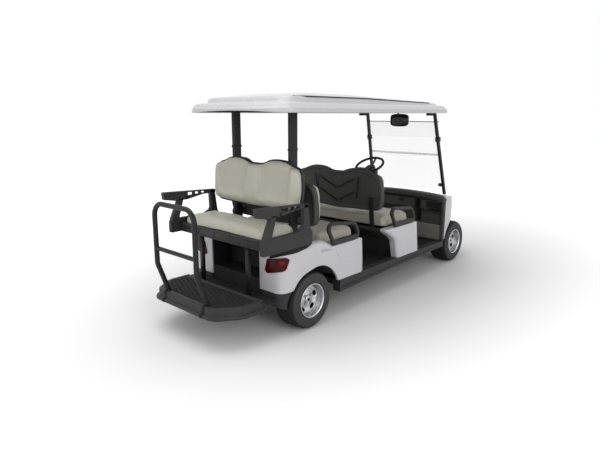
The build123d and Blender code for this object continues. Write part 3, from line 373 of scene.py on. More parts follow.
def tyre_skin(name, x, y, body):
    """Revolved tyre: radius from a closed side-to-side profile, less round grooves, lugs and sipes, with proud rings;
    tread and bore painted black as shade.
    """
    outer = curve(np.concatenate([TYRE_HALF[:0:-1] * (-1, 1), TYRE_HALF]), 84)
    bore = curve(np.concatenate([TYRE_BORE, TYRE_BORE[-2::-1] * (-1, 1)]), 22)
    profile = np.concatenate([outer, bore])
    angle = turns(216)[:, None]
    a, r = profile[None, :, 0], profile[None, :, 1]
    out = np.abs(a)
    tread = ease(r, 0.2245, 0.2285)
    groove = sum(np.exp(-((out - place) / 0.0028) ** 4) for place in GROOVES)
    lug = ease(np.cos(angle * LUGS + 9 * np.sign(a)), 0.25, 0.75) * ease(out, 0.06, 0.066) * ease(r, 0.206, 0.216)
    sipe = ease(np.cos(angle * LUGS + 260 * a), 0.86, 0.96) * ease(0.05 - out, 0.0, 0.004) * tread
    rings = np.exp(-((r - 0.172) / 0.0016) ** 2) + np.exp(-((r - 0.1555) / 0.0012) ** 2)
    proud = np.sign(a) * RING_PROUD * rings * ease(out, 0.096, 0.1)
    radius = r - GROOVE_DEEP * groove * tread - LUG_DEEP * lug - SIPE_DEEP * sipe
    piece = weld(skin(name, about_axle(x, y, 1, a + proud, radius, angle), RUBBER, body, close_u=True, close_v=True))
    # Faces on the tread and in the bore take the black mat rubber: painted shade of the wheel arch over the tread, and
    # of the rim over the bore.
    piece.data.materials.append(MAT_AND_SHADE)
    centres = np.empty(3 * len(piece.data.polygons))
    piece.data.polygons.foreach_get("center", centres)
    centres = centres.reshape(-1, 3) - (x, y, TYRE_R)
    reach = np.hypot(centres[:, 0], centres[:, 2])
    dark = (reach > 0.214) | (reach < 0.1)
    piece.data.polygons.foreach_set("material_index", dark.astype(np.int32))
    return piece


# ---------------- wheels
SLOTS, SLOT_R, SLOT_HALF, SLOT_TURN = 5, 0.0886, 0.016, 0.3   # ring of slots, their half-length in metres and radians
NUT_CIRCLE = 0.044
DISC_LINE = curve(mm((46, 0), (47, 30), (44, 46), (36, 60), (40, 78), (49, 98), (46, 116), (34, 123.5)), 60)
LIP_LINE = mm((103, 130), (103.5, 134.5), (101, 137.2), (96.5, 137.5), (94.5, 134.5), (93.5, 128.5), (80, 127),
              (0, 121), (-80, 127), (-93.5, 128.5), (-94.5, 137.2), (-101, 137.2), (-103.5, 130), (-85, 123.5),
              (0, 117.5), (28, 119), (40, 121.5), (62, 122.5), (86, 123.8), (97, 126.2))
CAP_LINE = mm((30, 0), (30, 31), (52, 31), (55.5, 28.5), (56.5, 24), (58.5, 15), (59, 0))
NUT_LINE = mm((30, 0.1), (30, 10), (56, 10), (60, 7.8), (62.5, 4.5), (63, 0.1))
# Profile of the black disc of painted shade behind the slots: outward offset and radius.
SLOT_SHADE_LINE = mm((18, 20), (20, 60), (22, 118), (16, 118), (14, 60), (12, 20))


def spun(name, profile, x, y, side, material, body, count, closed=True):
    """A profile of (outward offset, radius) turned about the wheel's own axle line."""
    points = about_axle(x, y, side, *profile.T, turns(count)[:, None])
    return weld(skin(name, points, material, body, close_u=True, close_v=closed))


def disc_face(x, y, side, body, name):
    """Sectors that morph from a slot's oval edge to their border, dished by the disc line, with a rolled slot edge."""
    around = turns(48)[:, None]
    out = np.array([-0.1, 0.0, 0.12, 0.35, 0.7, 1.0])[None, :]
    r_low, r_high = 0.03, 0.1235
    half_turn = np.pi / SLOTS
    cos, sin = np.cos(around), np.sin(around)
    oval_r, oval_t = SLOT_R + SLOT_HALF * cos, SLOT_TURN * sin
    scale = 1 / np.maximum(np.abs(cos), np.abs(sin))
    box_r = SLOT_R + np.where(cos > 0, r_high - SLOT_R, SLOT_R - r_low) * cos * scale
    box_t = half_turn * sin * scale
    share = np.clip(out, 0, 1)
    r, t = oval_r + (box_r - oval_r) * share, oval_t + (box_t - oval_t) * share
    depth = np.interp(r, DISC_LINE[:, 1], DISC_LINE[:, 0]) - 0.01 * (out < 0) - 0.002 * (out == 0)
    places = [about_axle(x, y, side, depth, r, t + k * 2 * half_turn + 0.35) for k in range(SLOTS)]
    pieces = [skin(f"{name}_{k}", points, ALLOY, body, close_u=True) for k, points in enumerate(places)]
    face = weld(joined(name, pieces), 2e-4)
    sheet(face, 0.0035)
    return face


def nut(name, x, y, side, angle, body):
    """A six-sided profile turned about its own bolt, which stands on the nut circle."""
    points = about_axle(x, y, side, *NUT_LINE.T, turns(6)[:, None])
    points += (NUT_CIRCLE * math.cos(angle), 0, NUT_CIRCLE * math.sin(angle))
    return weld(skin(name, points, ZINC, body, close_u=True, smooth=False), 3e-4)


def wheel(place, x, y):
    """One wheel: polished barrel and lip, slotted disc, hub cap, four nuts, a black disc of painted shade behind the
    slots where the brake sits, the tyre.
    """
    side = 1 if y > 0 else -1
    body = "wheel_" + place
    barrel = spun(f"rim_lip_{place}", LIP_LINE, x, y, side, LIP, body, 120)
    face = disc_face(x, y, side, body, f"rim_disc_{place}")
    cap = spun(f"hub_cap_{place}", CAP_LINE, x, y, side, ALLOY, body, 48, closed=False)
    nuts = joined(f"wheel_nuts_{place}", [nut(f"nut_{place}_{k}", x, y, side, np.pi / 4 + k * np.pi / 2, body)
                                          for k in range(4)])
    # Black disc behind the slots: painted shade where the brake sits.
    back = spun(f"brake_shadow_{place}", SLOT_SHADE_LINE, x, y, side, MAT_AND_SHADE, body, 48)
    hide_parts("rim_" + place)
    tyre = tyre_skin(f"tyre_tread_{place}", x, y, body)
    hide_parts("tyre_" + place)


for place, (x, y) in WHEELS.items():
    wheel(place, x, y)

# ---------------- upholstery
SHELL_T = 0.018
BACKS = {  # shell's rear face at the foot, lowest height, facing, lean in degrees, pad thickness
    "front": (FRONT_SEAT - 0.072, SEAT_BOX + 0.15, 1, 6.0, 0.082),
    "mid": (MID_SEAT - 0.072, SEAT_BOX + 0.15, 1, 6.0, 0.082),
    "rear": (REAR_AXLE - 0.022, REAR_DECK + 0.232, -1, 4.0, 0.06),
}
BACK_HALF = [  # y outwards, height: the double-humped back, from the middle of the foot to the middle of the top
    (0.0, -0.004), (0.15, 0.003), (0.3, 0.008), (0.415, 0.012), (0.476, 0.029), (0.497, 0.078), (0.5045, 0.155),
    (0.5, 0.255), (0.485, 0.308), (0.456, 0.335), (0.415, 0.346), (0.375, 0.361), (0.32, 0.379), (0.25, 0.386),
    (0.175, 0.382), (0.12, 0.368), (0.075, 0.352), (0.0, 0.348),
]
VOXEL = 0.0095
STRIP_HEIGHT, BOLSTER, BENCH_SEAM = (0.34, 0.16), 0.408, 0.405    # where the strip widens, and the outer seams
COVER_REACH = 0.011                              # how far the foam may swell
BENCHES = {"cushion_front": ("seat_front", 1), "cushion_mid": ("seat_mid", 1), "cushion_rear": ("seat_rear", -1)}


def back_outline(inset, count):
    """The back's outline as an even closed spline, drawn in by an inset along its own normals."""
    line = curve(BACK_HALF + [(-y, s) for y, s in reversed(BACK_HALF[1:-1])], count, closed=True)
    return line - inset * outward(line)


def back_axes(row):
    """Origin of a back at its shell's foot, and unit axes: across, up the back, and out from the shell's rear face."""
    x, z, facing, lean, _ = BACKS[row]
    sin, cos = math.sin(math.radians(lean)), math.cos(math.radians(lean))
    return np.array([x, 0, z]), np.array([(0, 1, 0), (-facing * sin, 0, cos), (facing * cos, 0, sin)])


def on_back(row, y, s, w):
    """Points across, up and out of a back, in the cart's frame."""
    origin, axes = back_axes(row)
    return origin + grid_of(y, s, w) @ axes


def seams(s):
    """Half-widths of the middle strip and of the field between the bolsters, at a height up the back."""
    return 0.052 + 0.02 * ease(s, *STRIP_HEIGHT), BOLSTER - 0.01 * np.cos(s * 9)


def bay(y, s):
    """How deep the two hip bays sink: full between the middle strip and the bolsters, fading to the foot."""
    strip, side = seams(s)
    out = np.abs(y)
    return ease(out, strip - 0.004, strip + 0.02) * ease(out, side + 0.004, side - 0.022) * ease(s, 0.03, 0.13)


def raised(line, height):
    """A flat line as points at one height above its plane."""
    return grid_of(*line.T, height)


def pad_base(row):
    """Closed pad: rings of the outline rise at the rim and roll onto a flat face, which narrows to a line across."""
    thick = BACKS[row][4]
    levels = ((0.012, 0.0), (0.007, 0.1), (0.006, 0.35), (0.007, 0.58), (0.013, 0.78), (0.024, 0.91), (0.04, 0.98))
    rings = [raised(back_outline(inset, 180), level * thick) for inset, level in levels]
    rim = back_outline(levels[-1][0], 180)
    spine = np.stack([rim[:, 0] * 0.9, np.full(len(rim), 0.19)], 1)
    rings += [raised(spine + (rim - spine) * share, thick) for share in (0.85, 0.7, 0.5, 0.3, 0.12)]
    y, s, w = np.moveaxis(np.stack(rings), -1, 0)
    return on_back(row, y, s, w + SHELL_T + 0.001)


def bench_ring(half_x, half_y, corner, count_x=26, count_y=10, count_corner=9):
    """Rounded rectangle ring about the origin: four quarter arcs joined by straights, always with the same count."""
    angle = np.linspace(0, np.pi / 2, count_corner)
    arc = corner * np.stack([np.cos(angle), np.sin(angle)], 1)
    signs = np.array([(1, 1), (-1, 1), (-1, -1), (1, -1)])
    parts = []
    for turn, sign in enumerate(signs):
        cos, sin = (1, 0, -1, 0)[turn], (0, 1, 0, -1)[turn]
        parts.append(arc @ np.array([(cos, sin), (-sin, cos)]) + sign * (half_x - corner, half_y - corner))
        number, inner = ((count_x, (half_x - corner, half_y)), (count_y, (half_x, half_y - corner)))[turn % 2]
        last, following = parts[-1][-1], signs[(turn + 1) % 4] * inner
        parts.append(last + (following - last) * np.linspace(0, 1, number + 2)[1:-1, None])
    return np.concatenate(parts)


def bench_base(box, front):
    """Closed bench cushion: rings swell at the side, roll over the edge and crown.

    The edge on the front side, +1 or -1 along X, dips between the two seats.
    """
    (x0, y0, z0), (x1, y1, z1) = box
    hx, hy, thick = (x1 - x0) / 2, (y1 - y0) / 2, z1 - z0
    levels = ((0.014, 0.0), (0.007, 0.12), (0.005, 0.35), (0.006, 0.6), (0.014, 0.8), (0.028, 0.92), (0.048, 0.975))
    rings = [raised(bench_ring(hx - inset, hy - inset, max(0.062 - inset, 0.02)), level * thick)
             for inset, level in levels]
    rim = bench_ring(hx - 0.048, hy - 0.048, 0.02)
    rings += [raised(rim * (share, 1 - (1 - share) * 0.6), thick * (1 - 0.03 * share))
              for share in (0.85, 0.65, 0.45, 0.25, 0.08)]
    x, y, z = np.moveaxis(np.stack(rings), -1, 0)
    top = ease(z, 0.5 * thick, thick)
    middle = np.exp(-((y / 0.075) ** 2))
    edge = ease(front * x, 0.4 * hx, hx)
    x = x - front * 0.012 * middle * edge
    z = z - top * (0.006 * middle + 0.01 * edge)
    return np.stack([x + (x0 + x1) / 2, y + (y0 + y1) / 2, z + z0], -1)


def voxel_copy(name, points):
    """A remeshed closed skin, ready to be swollen."""
    raw = skin(name + "_raw", points, VINYL, None, close_v=True)
    close_ends(raw, *points.shape[:2])
    remesh = raw.modifiers.new("voxels", "REMESH")
    remesh.mode, remesh.voxel_size = "VOXEL", VOXEL
    bpy.context.view_layer.update()
    mesh = bpy.data.meshes.new_from_object(raw.evaluated_get(bpy.context.evaluated_depsgraph_get()))
    bpy.data.objects.remove(raw)
    mesh.name = name
    mesh.materials.clear()
    mesh.materials.append(VINYL)
    return new_object(name, mesh)


def coordinates(mesh):
    """All vertex places of a mesh as one array."""
    flat = np.empty(3 * len(mesh.vertices))
    mesh.vertices.foreach_get("co", flat)
    return flat.reshape(-1, 3)


def swell(pieces, held, cap):
    """Blow the pads up by a cloth run with pressure and no gravity, then keep each point within a cap of its start."""
    for piece in pieces:
        places = coordinates(piece.data)
        group = piece.vertex_groups.new(name="held")
        group.add([int(i) for i in np.nonzero(held[piece.name](places))[0]], 1.0, "REPLACE")
        cloth = piece.modifiers.new("cloth", "CLOTH")
        cloth.settings.use_pressure = True
        cloth.settings.uniform_pressure_force = 4
        cloth.settings.effector_weights.gravity = 0
        cloth.settings.vertex_group_mass = "held"
        cloth.settings.quality = 4
        cloth.settings.tension_stiffness = cloth.settings.compression_stiffness = 25
        cloth.settings.bending_stiffness = 3
    for step in range(1, 21):
        bpy.context.scene.frame_set(step)
    ready = bpy.context.evaluated_depsgraph_get()
    for piece in pieces:
        start = coordinates(piece.data)
        blown = coordinates(piece.evaluated_get(ready).data)
        move = blown - start
        size = np.maximum(np.linalg.norm(move, axis=1, keepdims=True), 1e-9)
        move *= cap * np.tanh(size / cap) / size
        piece.modifiers.clear()
        piece.vertex_groups.clear()
        piece.data.vertices.foreach_set("co", (start + move).ravel())
    bpy.context.scene.frame_set(1)


def stitch(distance, width, depth):
    """A rounded sewn groove: how far the surface is pulled in at a distance from the seam."""
    return -depth * np.exp(-((distance / width) ** 2))


def reshape_back(piece, row, push):
    """Move a back cover's points out along the back by push(across, up, out)."""
    origin, axes = back_axes(row)
    places = coordinates(piece.data)
    places += push(*((places - origin) @ axes.T).T)[:, None] * axes[2]
    piece.data.vertices.foreach_set("co", places.ravel())


def sink_bays(piece, row):
    """Push the front of a remeshed back in where the hips and shoulders rest, and out along the lumbar line."""
    thick = BACKS[row][4]
    deepest = 0.031 if row == "rear" else 0.024

    def push(y, s, w):  # how far out, from the place across, up and out
        front = ease(w, SHELL_T + 0.3 * thick, SHELL_T + 0.95 * thick)
        lumbar = 0.007 * np.exp(-((s - 0.13) / 0.07) ** 2) * ease(0.4 - np.abs(y), 0.0, 0.06)
        crown = 0.006 * np.exp(-((s - 0.33) / 0.05) ** 2)
        return front * (lumbar + crown - deepest * bay(y, s))

    reshape_back(piece, row, push)


def sew_back(piece, row):
    """Pull the seams of the strip and the bolsters into the front of a swollen back."""
    thick = BACKS[row][4]

    def push(y, s, w):  # how far out, from the place across, up and out
        front = ease(w, SHELL_T + 0.55 * thick, SHELL_T + 0.9 * thick)
        strip, side = seams(s)
        pull = stitch(np.abs(y) - side, 0.0065, 0.006) + stitch(np.abs(y) - strip, 0.006, 0.004) * ease(s, 0.1, 0.2)
        return front * pull * ease(s, 0.015, 0.05)

    reshape_back(piece, row, push)


def sew_bench(piece, top_z):
    """Pull three lengthwise seams into the top of a swollen bench: the middle one and one near each end."""
    places = coordinates(piece.data)
    top = ease(places[:, 2], top_z - 0.05, top_z - 0.02)
    outer = np.abs(places[:, 1]) - BENCH_SEAM
    places[:, 2] += top * (stitch(outer, 0.006, 0.0035) + stitch(places[:, 1], 0.006, 0.003))
    piece.data.vertices.foreach_set("co", places.ravel())


def cover(piece, body, node):
    """Smooth one finished cover, hang it on its body in place of its CAD node, and hide that node."""
    piece.data.polygons.foreach_set("use_smooth", [True] * len(piece.data.polygons))
    finer = piece.modifiers.new("finer", "SUBSURF")
    finer.levels = finer.render_levels = 1
    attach(piece, body)
    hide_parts(node)


pads, held = {}, {}
for row in BACKS:
    name = f"back_cover_{row}"
    pads[name] = voxel_copy(name, pad_base(row))
    sink_bays(pads[name], row)
    origin, (_, _, normal) = back_axes(row)
    held[name] = lambda p, o=origin, n=normal: (p - o) @ n < SHELL_T + 0.012
for node, (_, front) in BENCHES.items():
    name = node + "_cover"
    low, high = [np.array(corner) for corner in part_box(node)]
    if node == "cushion_rear":
        low[0] = high[0] - 0.35
        low[2] = high[2] - 0.072
    low, high = low + (0.002, 0.002, 0), high - (0.002, 0.002, 0.004)
    pads[name] = voxel_copy(name, bench_base((low, high), front))
    held[name] = lambda p, floor=low[2]: p[:, 2] < floor + 0.014
swell(list(pads.values()), held, COVER_REACH)
for row in BACKS:
    sew_back(pads[f"back_cover_{row}"], row)
    cover(pads[f"back_cover_{row}"], "cart", "back_pad_" + row)
for node, (body, _) in BENCHES.items():
    sew_bench(pads[node + "_cover"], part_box(node)[1][2])
    cover(pads[node + "_cover"], body, node)


# ---------------- outlines
def even_outline(corners, count):
    """Polygon corners (x, y, radius) turned into arcs and straights, then resampled at even distances all round."""
    x, y, radius = np.array(corners, float).T
    p = np.stack([x, y], 1)
    back, ahead = unit(np.roll(p, 1, 0) - p), unit(np.roll(p, -1, 0) - p)
    half = 0.5 * np.arccos(np.clip((back * ahead).sum(1), -1, 1))
    reach = radius / np.tan(half)
    centre = p + unit(back + ahead) * (radius / np.sin(half))[:, None]
    start, end = p + back * reach[:, None], p + ahead * reach[:, None]
    step = np.linspace(0, 1, 13)[None, :, None]
    chord = (start - centre)[:, None] * (1 - step) + (end - centre)[:, None] * step
    size = np.maximum(np.linalg.norm(chord, axis=2, keepdims=True), 1e-9)
    line = (centre[:, None] + chord / size * radius[:, None, None]).reshape(-1, 2)
    line = np.concatenate([line, line[:1]])
    travel = np.concatenate([[0], np.cumsum(np.linalg.norm(np.diff(line, axis=0), axis=1))])
    at = np.linspace(0, travel[-1], count, endpoint=False)
    return np.stack([np.interp(at, travel, line[:, k]) for k in (0, 1)], 1)


# ---------------- roof
ROOF_REAR, ROOF_FRONT, ROOF_HALF = REAR_AXLE - 0.295, DASH + 0.035, 0.581
ROOF_FLAT, CHANNEL_RISE = 1.7365, 0.0385         # the flat round the dome, and the side channels' height above it
ROOF_LEVELS = mm(  # inset at the sides, rear and front, corner radius, height
    (34, 34, 34, 110, 1690), (22, 22, 22, 122, 1686), (18, 18, 18, 127, 1662), (11, 11, 11, 134, 1656.5),
    (4, 4, 4, 141, 1656.5), (0, 0, 0, 145, 1661), (1, 1, 1, 144, 1686), (3, 3, 3, 142, 1691), (8, 8, 8, 138, 1694),
    (20, 14, 13, 132, 1708.5), (36, 22, 20, 124, 1721.5), (50, 36, 32, 114, 1729), (68, 70, 50, 104, 1732.5),
    (86, 109, 72, 98, 1734), (90, 115, 80, 95, 1736.5), (92, 118, 85, 95, 1740), (99, 125, 100, 98, 1760),
    (107, 133, 125, 102, 1773), (122, 180, 190, 110, 1780.5), (150, 262, 300, 120, 1790.5),
    (185, 325, 420, 120, 1798.5), (194, 335, 435, 115, 1799), (203, 345, 445, 110, 1792), (221, 365, 465, 100, 1792),
    (230, 375, 475, 95, 1802), (290, 470, 600, 80, 1809), (420, 700, 900, 60, 1814.5), (545, 950, 1150, 20, 1815))


def nose_fall(x):
    """Share of the dome's height that stays, from all of it at the rear to 38 % over the nose."""
    return 1 - 0.62 * np.clip((x + 0.3) / 1.3, 0, 1)


def roof_ring(side, rear, front, corner, z, count=264):
    """One level of the roof: a rounded rectangle; the rear lip arches up and the dome sinks towards the front."""
    x0, x1, half = ROOF_REAR + rear, ROOF_FRONT - front, ROOF_HALF - side
    line = even_outline([(x1, -half, corner), (x1, half, corner), (x0, half, corner), (x0, -half, corner)], count)
    x, y = line.T
    arch = 0.016 * np.clip(1 - (y / 0.5) ** 2, 0, 1) * ease(-x, -(ROOF_REAR + 0.16), -(ROOF_REAR + 0.05)) * (z < 1.68)
    dome = max(z - ROOF_FLAT, 0) * nose_fall(x)
    return np.stack([x, y, min(z, ROOF_FLAT) + arch + dome], 1)


roof_skin = tube("roof_moulding", [roof_ring(*level) for level in ROOF_LEVELS], BODY)
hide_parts("roof")
# Dark strips along the side channels on the roof's slope: painted shade of the gap under the top panel's raised edge.
x = np.linspace(ROOF_REAR + 0.215, ROOF_FRONT - 0.3, 60)
tail = ease(x, ROOF_REAR + 0.215, ROOF_REAR + 0.36)
height = ROOF_FLAT + CHANNEL_RISE * nose_fall(x) + 0.001 * (0.6 + 0.4 * tail)
channel_shade_strips = []
for side in SIDES:
    path = np.stack([x, side * (ROOF_HALF - 0.107 - 0.02 * (1 - tail)), height], 1)
    channel_shade_strips.append(sweep(f"channel_{side}", rounded_box(0.012, 0.0085, 0.003), path, DARK_AND_SHADE))
channel_shade_strips = joined("roof_channel_painted_shade", channel_shade_strips)
LINER_LEVELS = mm((23.5, 23.5, 23.5, 120, 1688.5), (23.5, 23.5, 23.5, 120, 1664), (28.5, 28.5, 28.5, 115, 1664),
                  (33, 33, 33, 110, 1684), (60, 60, 60, 90, 1686), (540, 950, 1150, 20, 1686.5))
liner = tube("roof_liner", [roof_ring(*level) for level in LINER_LEVELS], DARK_AND_SHADE)
BOSS_X, BOSS_R, BOSS_HALF = ROOF_FRONT - 0.115, 0.034, 0.11      # an oval vent boss, wide across the roof
turn = turns(40)
boss = [raised(np.stack([BOSS_X + a * np.cos(turn), BOSS_HALF * a / BOSS_R * np.sin(turn)], 1), ROOF_FLAT + h)
        for a, h in ((0.034, -0.004), (0.034, 0.004), (0.03, 0.012), (0.02, 0.016), (0.004, 0.0168))]
tube("roof_vent_boss", boss, BODY)

# ---------------- footplate
PLATE_FRONT, PLATE_REAR, PLATE_HALF = REAR_AXLE - 0.41, REAR_AXLE - 0.808, 0.487
PLATE_TOP, PLATE_LOW = SILL + 0.006, 0.235


def plate_ring(inset, front_inset, z, count=200):
    """The footplate's plan outline, drawn in from the skirt, at a height."""
    edge = [
        (PLATE_FRONT - front_inset, PLATE_HALF - inset, 0.004),
        (PLATE_REAR + 0.19 + 0.31 * inset, PLATE_HALF - inset, 0.15 - inset),
        (PLATE_REAR + inset, PLATE_HALF - 0.13 - 0.53 * inset, 0.11 - inset),
    ]
    return raised(even_outline(edge + [(x, -y, r) for x, y, r in reversed(edge)], count), z)


PLATE_LEVELS = np.concatenate([  # inset, inset of the front edge, height
    mm((36, 12, -24)) + (0, 0, PLATE_TOP),
    mm((36, 12, 19), (14, 12, 17), (11, 10, 0), (3, 2, 0), (0, 0, 3), (0, 0, 20), (3, 0, 25), (15, 0, 26.5),
       (20, 0, 29), (22, 0, 35)) + (0, 0, PLATE_LOW),
    mm((23, 1, -10), (26, 3, -3), (32, 6, 0), (54, 22, 0), (60, 30, -3), (64, 36, -10),
       (70, 42, -11)) + (0, 0, PLATE_TOP),
])
step = tube("footplate_moulding", [plate_ring(*level) for level in PLATE_LEVELS], DARK_AND_SHADE)
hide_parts("footplate")


def tread_mat():
    """Rubber mat in the plate's recess: a flat sheet plus two families of slanting ridges that cross as diamonds."""
    t, s = np.meshgrid(np.linspace(-1, 1, 261), np.linspace(0, 1, 121))
    outline = plate_ring(0.066, 0.038, 0.0, 800)
    x0, x1 = outline[:, 0].min() + 0.001, outline[:, 0].max()
    upper = outline[outline[:, 1] > 0]
    order = np.argsort(upper[:, 0])
    x = x0 + (x1 - x0) * s
    half = np.interp(x, upper[order, 0], upper[order, 1])
    y = t * half
    rows, lean = 0.036, 0.42
    ridges = [np.abs(((x + way * lean * y) / rows) % 1 - 0.5) * 2 for way in SIDES]
    ridge = np.maximum(*(ease(line, 0.62, 0.86) for line in ridges))
    border = ease(1 - np.abs(t), 0.0, 0.035) * ease(s, 0.0, 0.03) * ease(1 - s, 0.0, 0.03)
    return grid_of(x, y, PLATE_TOP - 0.0105 + 0.0075 * ridge * border)


tread = skin("footplate_tread", tread_mat(), MAT_AND_SHADE)
sheet(tread, 0.002, 1)
STRAP_Y = 0.236
STRAP_LINE = np.concatenate([  # x and height: over the rim's top, then down and round the skirt's foot
    mm((-1792, 2.5), (-1838, 2.5), (-1847.5, -4)) + (0, PLATE_TOP),
    mm((-1847.5, 34), (-1852, 29), (-1866, 27.5), (-1869.5, 22), (-1869.5, 2)) + (0, PLATE_LOW),
])
straps = []
for side in SIDES:
    path = [(x, side * STRAP_Y, z) for x, z in STRAP_LINE]
    straps.append(sweep(f"plate_strap_{side}", rounded_box(0.004, 0.024, 0.0018, 3), path, MAT_AND_SHADE, up=(0, 1, 0)))
straps = joined("plate_straps", straps)

# ---------------- armrest loops
# Corners of the loop: from the cushion's rear edge, above the seat box, and their radius.
ARM_LOOP = mm((-34, 194, 40), (334, 148, 55), (408, 26, 34), (62, 24, 30))


def arm_loop(name, seat_x, y):
    """A squarish section, 34 mm wide and 28 mm deep, carried round the loop's middle line, and deeper at the bottom."""
    line = even_outline(ARM_LOOP + (seat_x, SEAT_BOX, 0), 132)
    top = ease(line[:, 1] - SEAT_BOX, 0.1, 0.15)[:, None]
    low = ease(SEAT_BOX + 0.05 - line[:, 1], 0.0, 0.02)[:, None]
    turn, power = turns(22)[None, :], 0.62
    across = squarish(np.cos(turn), power) * (0.0165 + 0.0015 * top)
    deep = squarish(np.sin(turn), power) * (0.0135 + 0.001 * top + 0.0095 * low)
    out = outward(line)
    points = grid_of(line[:, :1] + out[:, :1] * deep, y + across, line[:, 1:] + out[:, 1:] * deep)
    return weld(skin(name, points, DARK_AND_SHADE, close_u=True, close_v=True))


loops = [arm_loop(f"loop_{row}_{side}", seat_x, side * (BODY_HALF - 0.0045))
         for row, seat_x in (("front", FRONT_SEAT), ("mid", MID_SEAT)) for side in SIDES]
loops = joined("armrest_loops", loops)
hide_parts("armrests")

# ---------------- rolled edges of the seat backs
for row in BACKS:
    rim = back_outline(0.0, 200)
    out = outward(rim)
    deep = 0.046 if row != "rear" else 0.024
    wall = np.array([(-0.03, -0.0005), (-0.012, -0.0025), (-0.003, -0.0015), (0.0035, 0.004), (0.0055, 0.014),
                     (0.0055, deep - 0.006), (0.004, deep), (-0.001, deep + 0.001), (-0.0035, deep - 0.003),
                     (-0.0035, 0.01), (-0.03, 0.006)])
    radial, through = wall[None, :, 0], wall[None, :, 1]
    y, s = rim[:, :1] + out[:, :1] * radial, rim[:, 1:] + out[:, 1:] * radial
    grey = DARK_AND_SHADE if row == "rear" else DASH_GREY
    rolled = weld(skin(f"back_rim_{row}", on_back(row, y, s, through), grey, close_u=True, close_v=True))

# ---------------- rear seat tray
TRAY_X, TRAY_HALF = REAR_AXLE - 0.41, 0.538
tray = []
for z, deep, tall in ((0.7505, 0.02, 0.017), (0.688, 0.014, 0.013)):
    path = [(TRAY_X, y, z) for y in np.linspace(-TRAY_HALF, TRAY_HALF, 12)]
    tray.append(sweep(f"tray_{z}", rounded_box(deep, tall, 0.006), path, DARK_AND_SHADE))
for y in (-0.5, -0.3, -0.1, 0.1, 0.3, 0.5):
    path = [(TRAY_X + 0.001, y, z) for z in (0.69, 0.748)]
    tray.append(sweep(f"tray_rib_{y}", rounded_box(0.01, 0.008, 0.003), path, DARK_AND_SHADE, up=(0, 1, 0)))
tray = joined("rear_tray_lip", tray)

# ---------------- black panels closing the back below the bag well and the tail: painted shade of the dark void there
bagwell_shade = np.array([(-1.33, y, z) for z in (0.292, 0.402) for y in (-0.296, 0.296)]).reshape(2, 2, 3)
bagwell_shade = skin("rear_painted_shade_panel", bagwell_shade, MAT_AND_SHADE, smooth=False)
sheet(bagwell_shade, 0.006)
y, x = np.meshgrid(np.linspace(-0.47, 0.47, 40), np.linspace(-1.505, -1.3, 12), indexing="ij")
ribs = 0.297 + 0.002 * np.cos(2 * np.pi * y / 0.094)
tail_shade = skin("tail_painted_shade_sheet", grid_of(x, y, ribs), MAT_AND_SHADE)
sheet(tail_shade, 0.003)

# ---------------- dash and cowl trim
ROLL_HALF, KICK_HALF, DASH_FACE = 0.5765, 0.548, 1.062
KICK_LOW, KICK_HIGH = 0.308, 0.478
ROLL_LINE = curve(mm((1064, 732), (1052, 740), (1045.5, 756), (1048, 774), (1062, 787), (1090, 792.5), (1140, 792),
                     (1180, 786), (1206, 776), (1218, 764)), 44)
ROLL_LINE = np.concatenate([ROLL_LINE, [(1.216, 0.754), (1.07, 0.754)]])


def dash_roll():
    """The roll's section carried across the cart: it crowns in the middle, and its ends narrow to the rear edge."""
    y = np.linspace(-ROLL_HALF, ROLL_HALF, 61)[:, None]
    x, z = ROLL_LINE.T
    crown = 0.026 * (1 - (y / ROLL_HALF) ** 2) - 0.012 * (y / ROLL_HALF) ** 8
    reach = 1 - 0.62 * ease(np.abs(y), 0.46, ROLL_HALF)
    return grid_of(x.min() + (x - x.min()) * reach, y, z + crown)


roll = tube("dash_roll", dash_roll(), DASH_GREY)
y, z = np.meshgrid(np.linspace(-KICK_HALF, KICK_HALF, 60), np.linspace(KICK_LOW, KICK_HIGH, 12))
bulge = ease(KICK_HALF - np.abs(y), 0.0, 0.02)
bulge *= ease(z, KICK_LOW, KICK_LOW + 0.01) * ease(-z, -KICK_HIGH, 0.01 - KICK_HIGH)
kick = skin("kick_panel", grid_of(1.065 + 0.02 * (z - 0.305) / 0.295 - 0.004 * bulge, y, z), KICK)
sheet(kick, 0.003)
knobs = []
turn = turns(28)[:, None]
for y, z, r in ((-0.035, 0.712, 0.012), (-0.075, 0.712, 0.009), (0.44, 0.7, 0.014), (-0.47, 0.722, 0.008)):
    out, radius = np.array([(0.0, 0.0), (0.0, r), (0.01, r), (0.016, 0.85 * r), (0.019, 0.5 * r), (0.0195, 0.0)]).T
    points = grid_of(DASH_FACE - out, y + radius * np.cos(turn), z + radius * np.sin(turn))
    knobs.append(weld(skin(f"knob_{y}", points, MAT_AND_SHADE, close_u=True)))
knobs = joined("dash_knobs", knobs)

dash_ends = []
for side in SIDES:
    path = [(np.interp(z, (SILL, 0.5, 0.742), (1.067, 1.074, 1.0715)), side * 0.565, z)
            for z in np.linspace(SILL, 0.742, 14)]
    dash_ends.append(sweep(f"dash_edge_{side}", rounded_box(0.04, 0.032, 0.005), path, DASH_GREY, up=(0, 1, 0)))
dash_ends = joined("dash_side_edges", dash_ends)

# ---------------- body fairings and rolled edges
SHOULDER = mm(  # out from the middle, and drop below the deck
    (497.5, 200), (497.5, 8), (501, 2), (508, 0), (530, 0), (548, 3), (562, 10), (571, 22), (575.2, 42),
    (575.2, 200))
shoulders = []
for side in SIDES:
    x = np.linspace(-0.955, -0.735, 30)[:, None]
    top = SEAT_BOX + 0.064 * (1 - ease(x, -0.93, -0.75)) + 0.001
    points = grid_of(x, side * SHOULDER[:, 0], np.maximum(top - SHOULDER[:, 1], 0.59))
    shoulders.append(tube(f"shoulder_{side}", points, BODY))
shoulders = joined("deck_shoulders", shoulders)

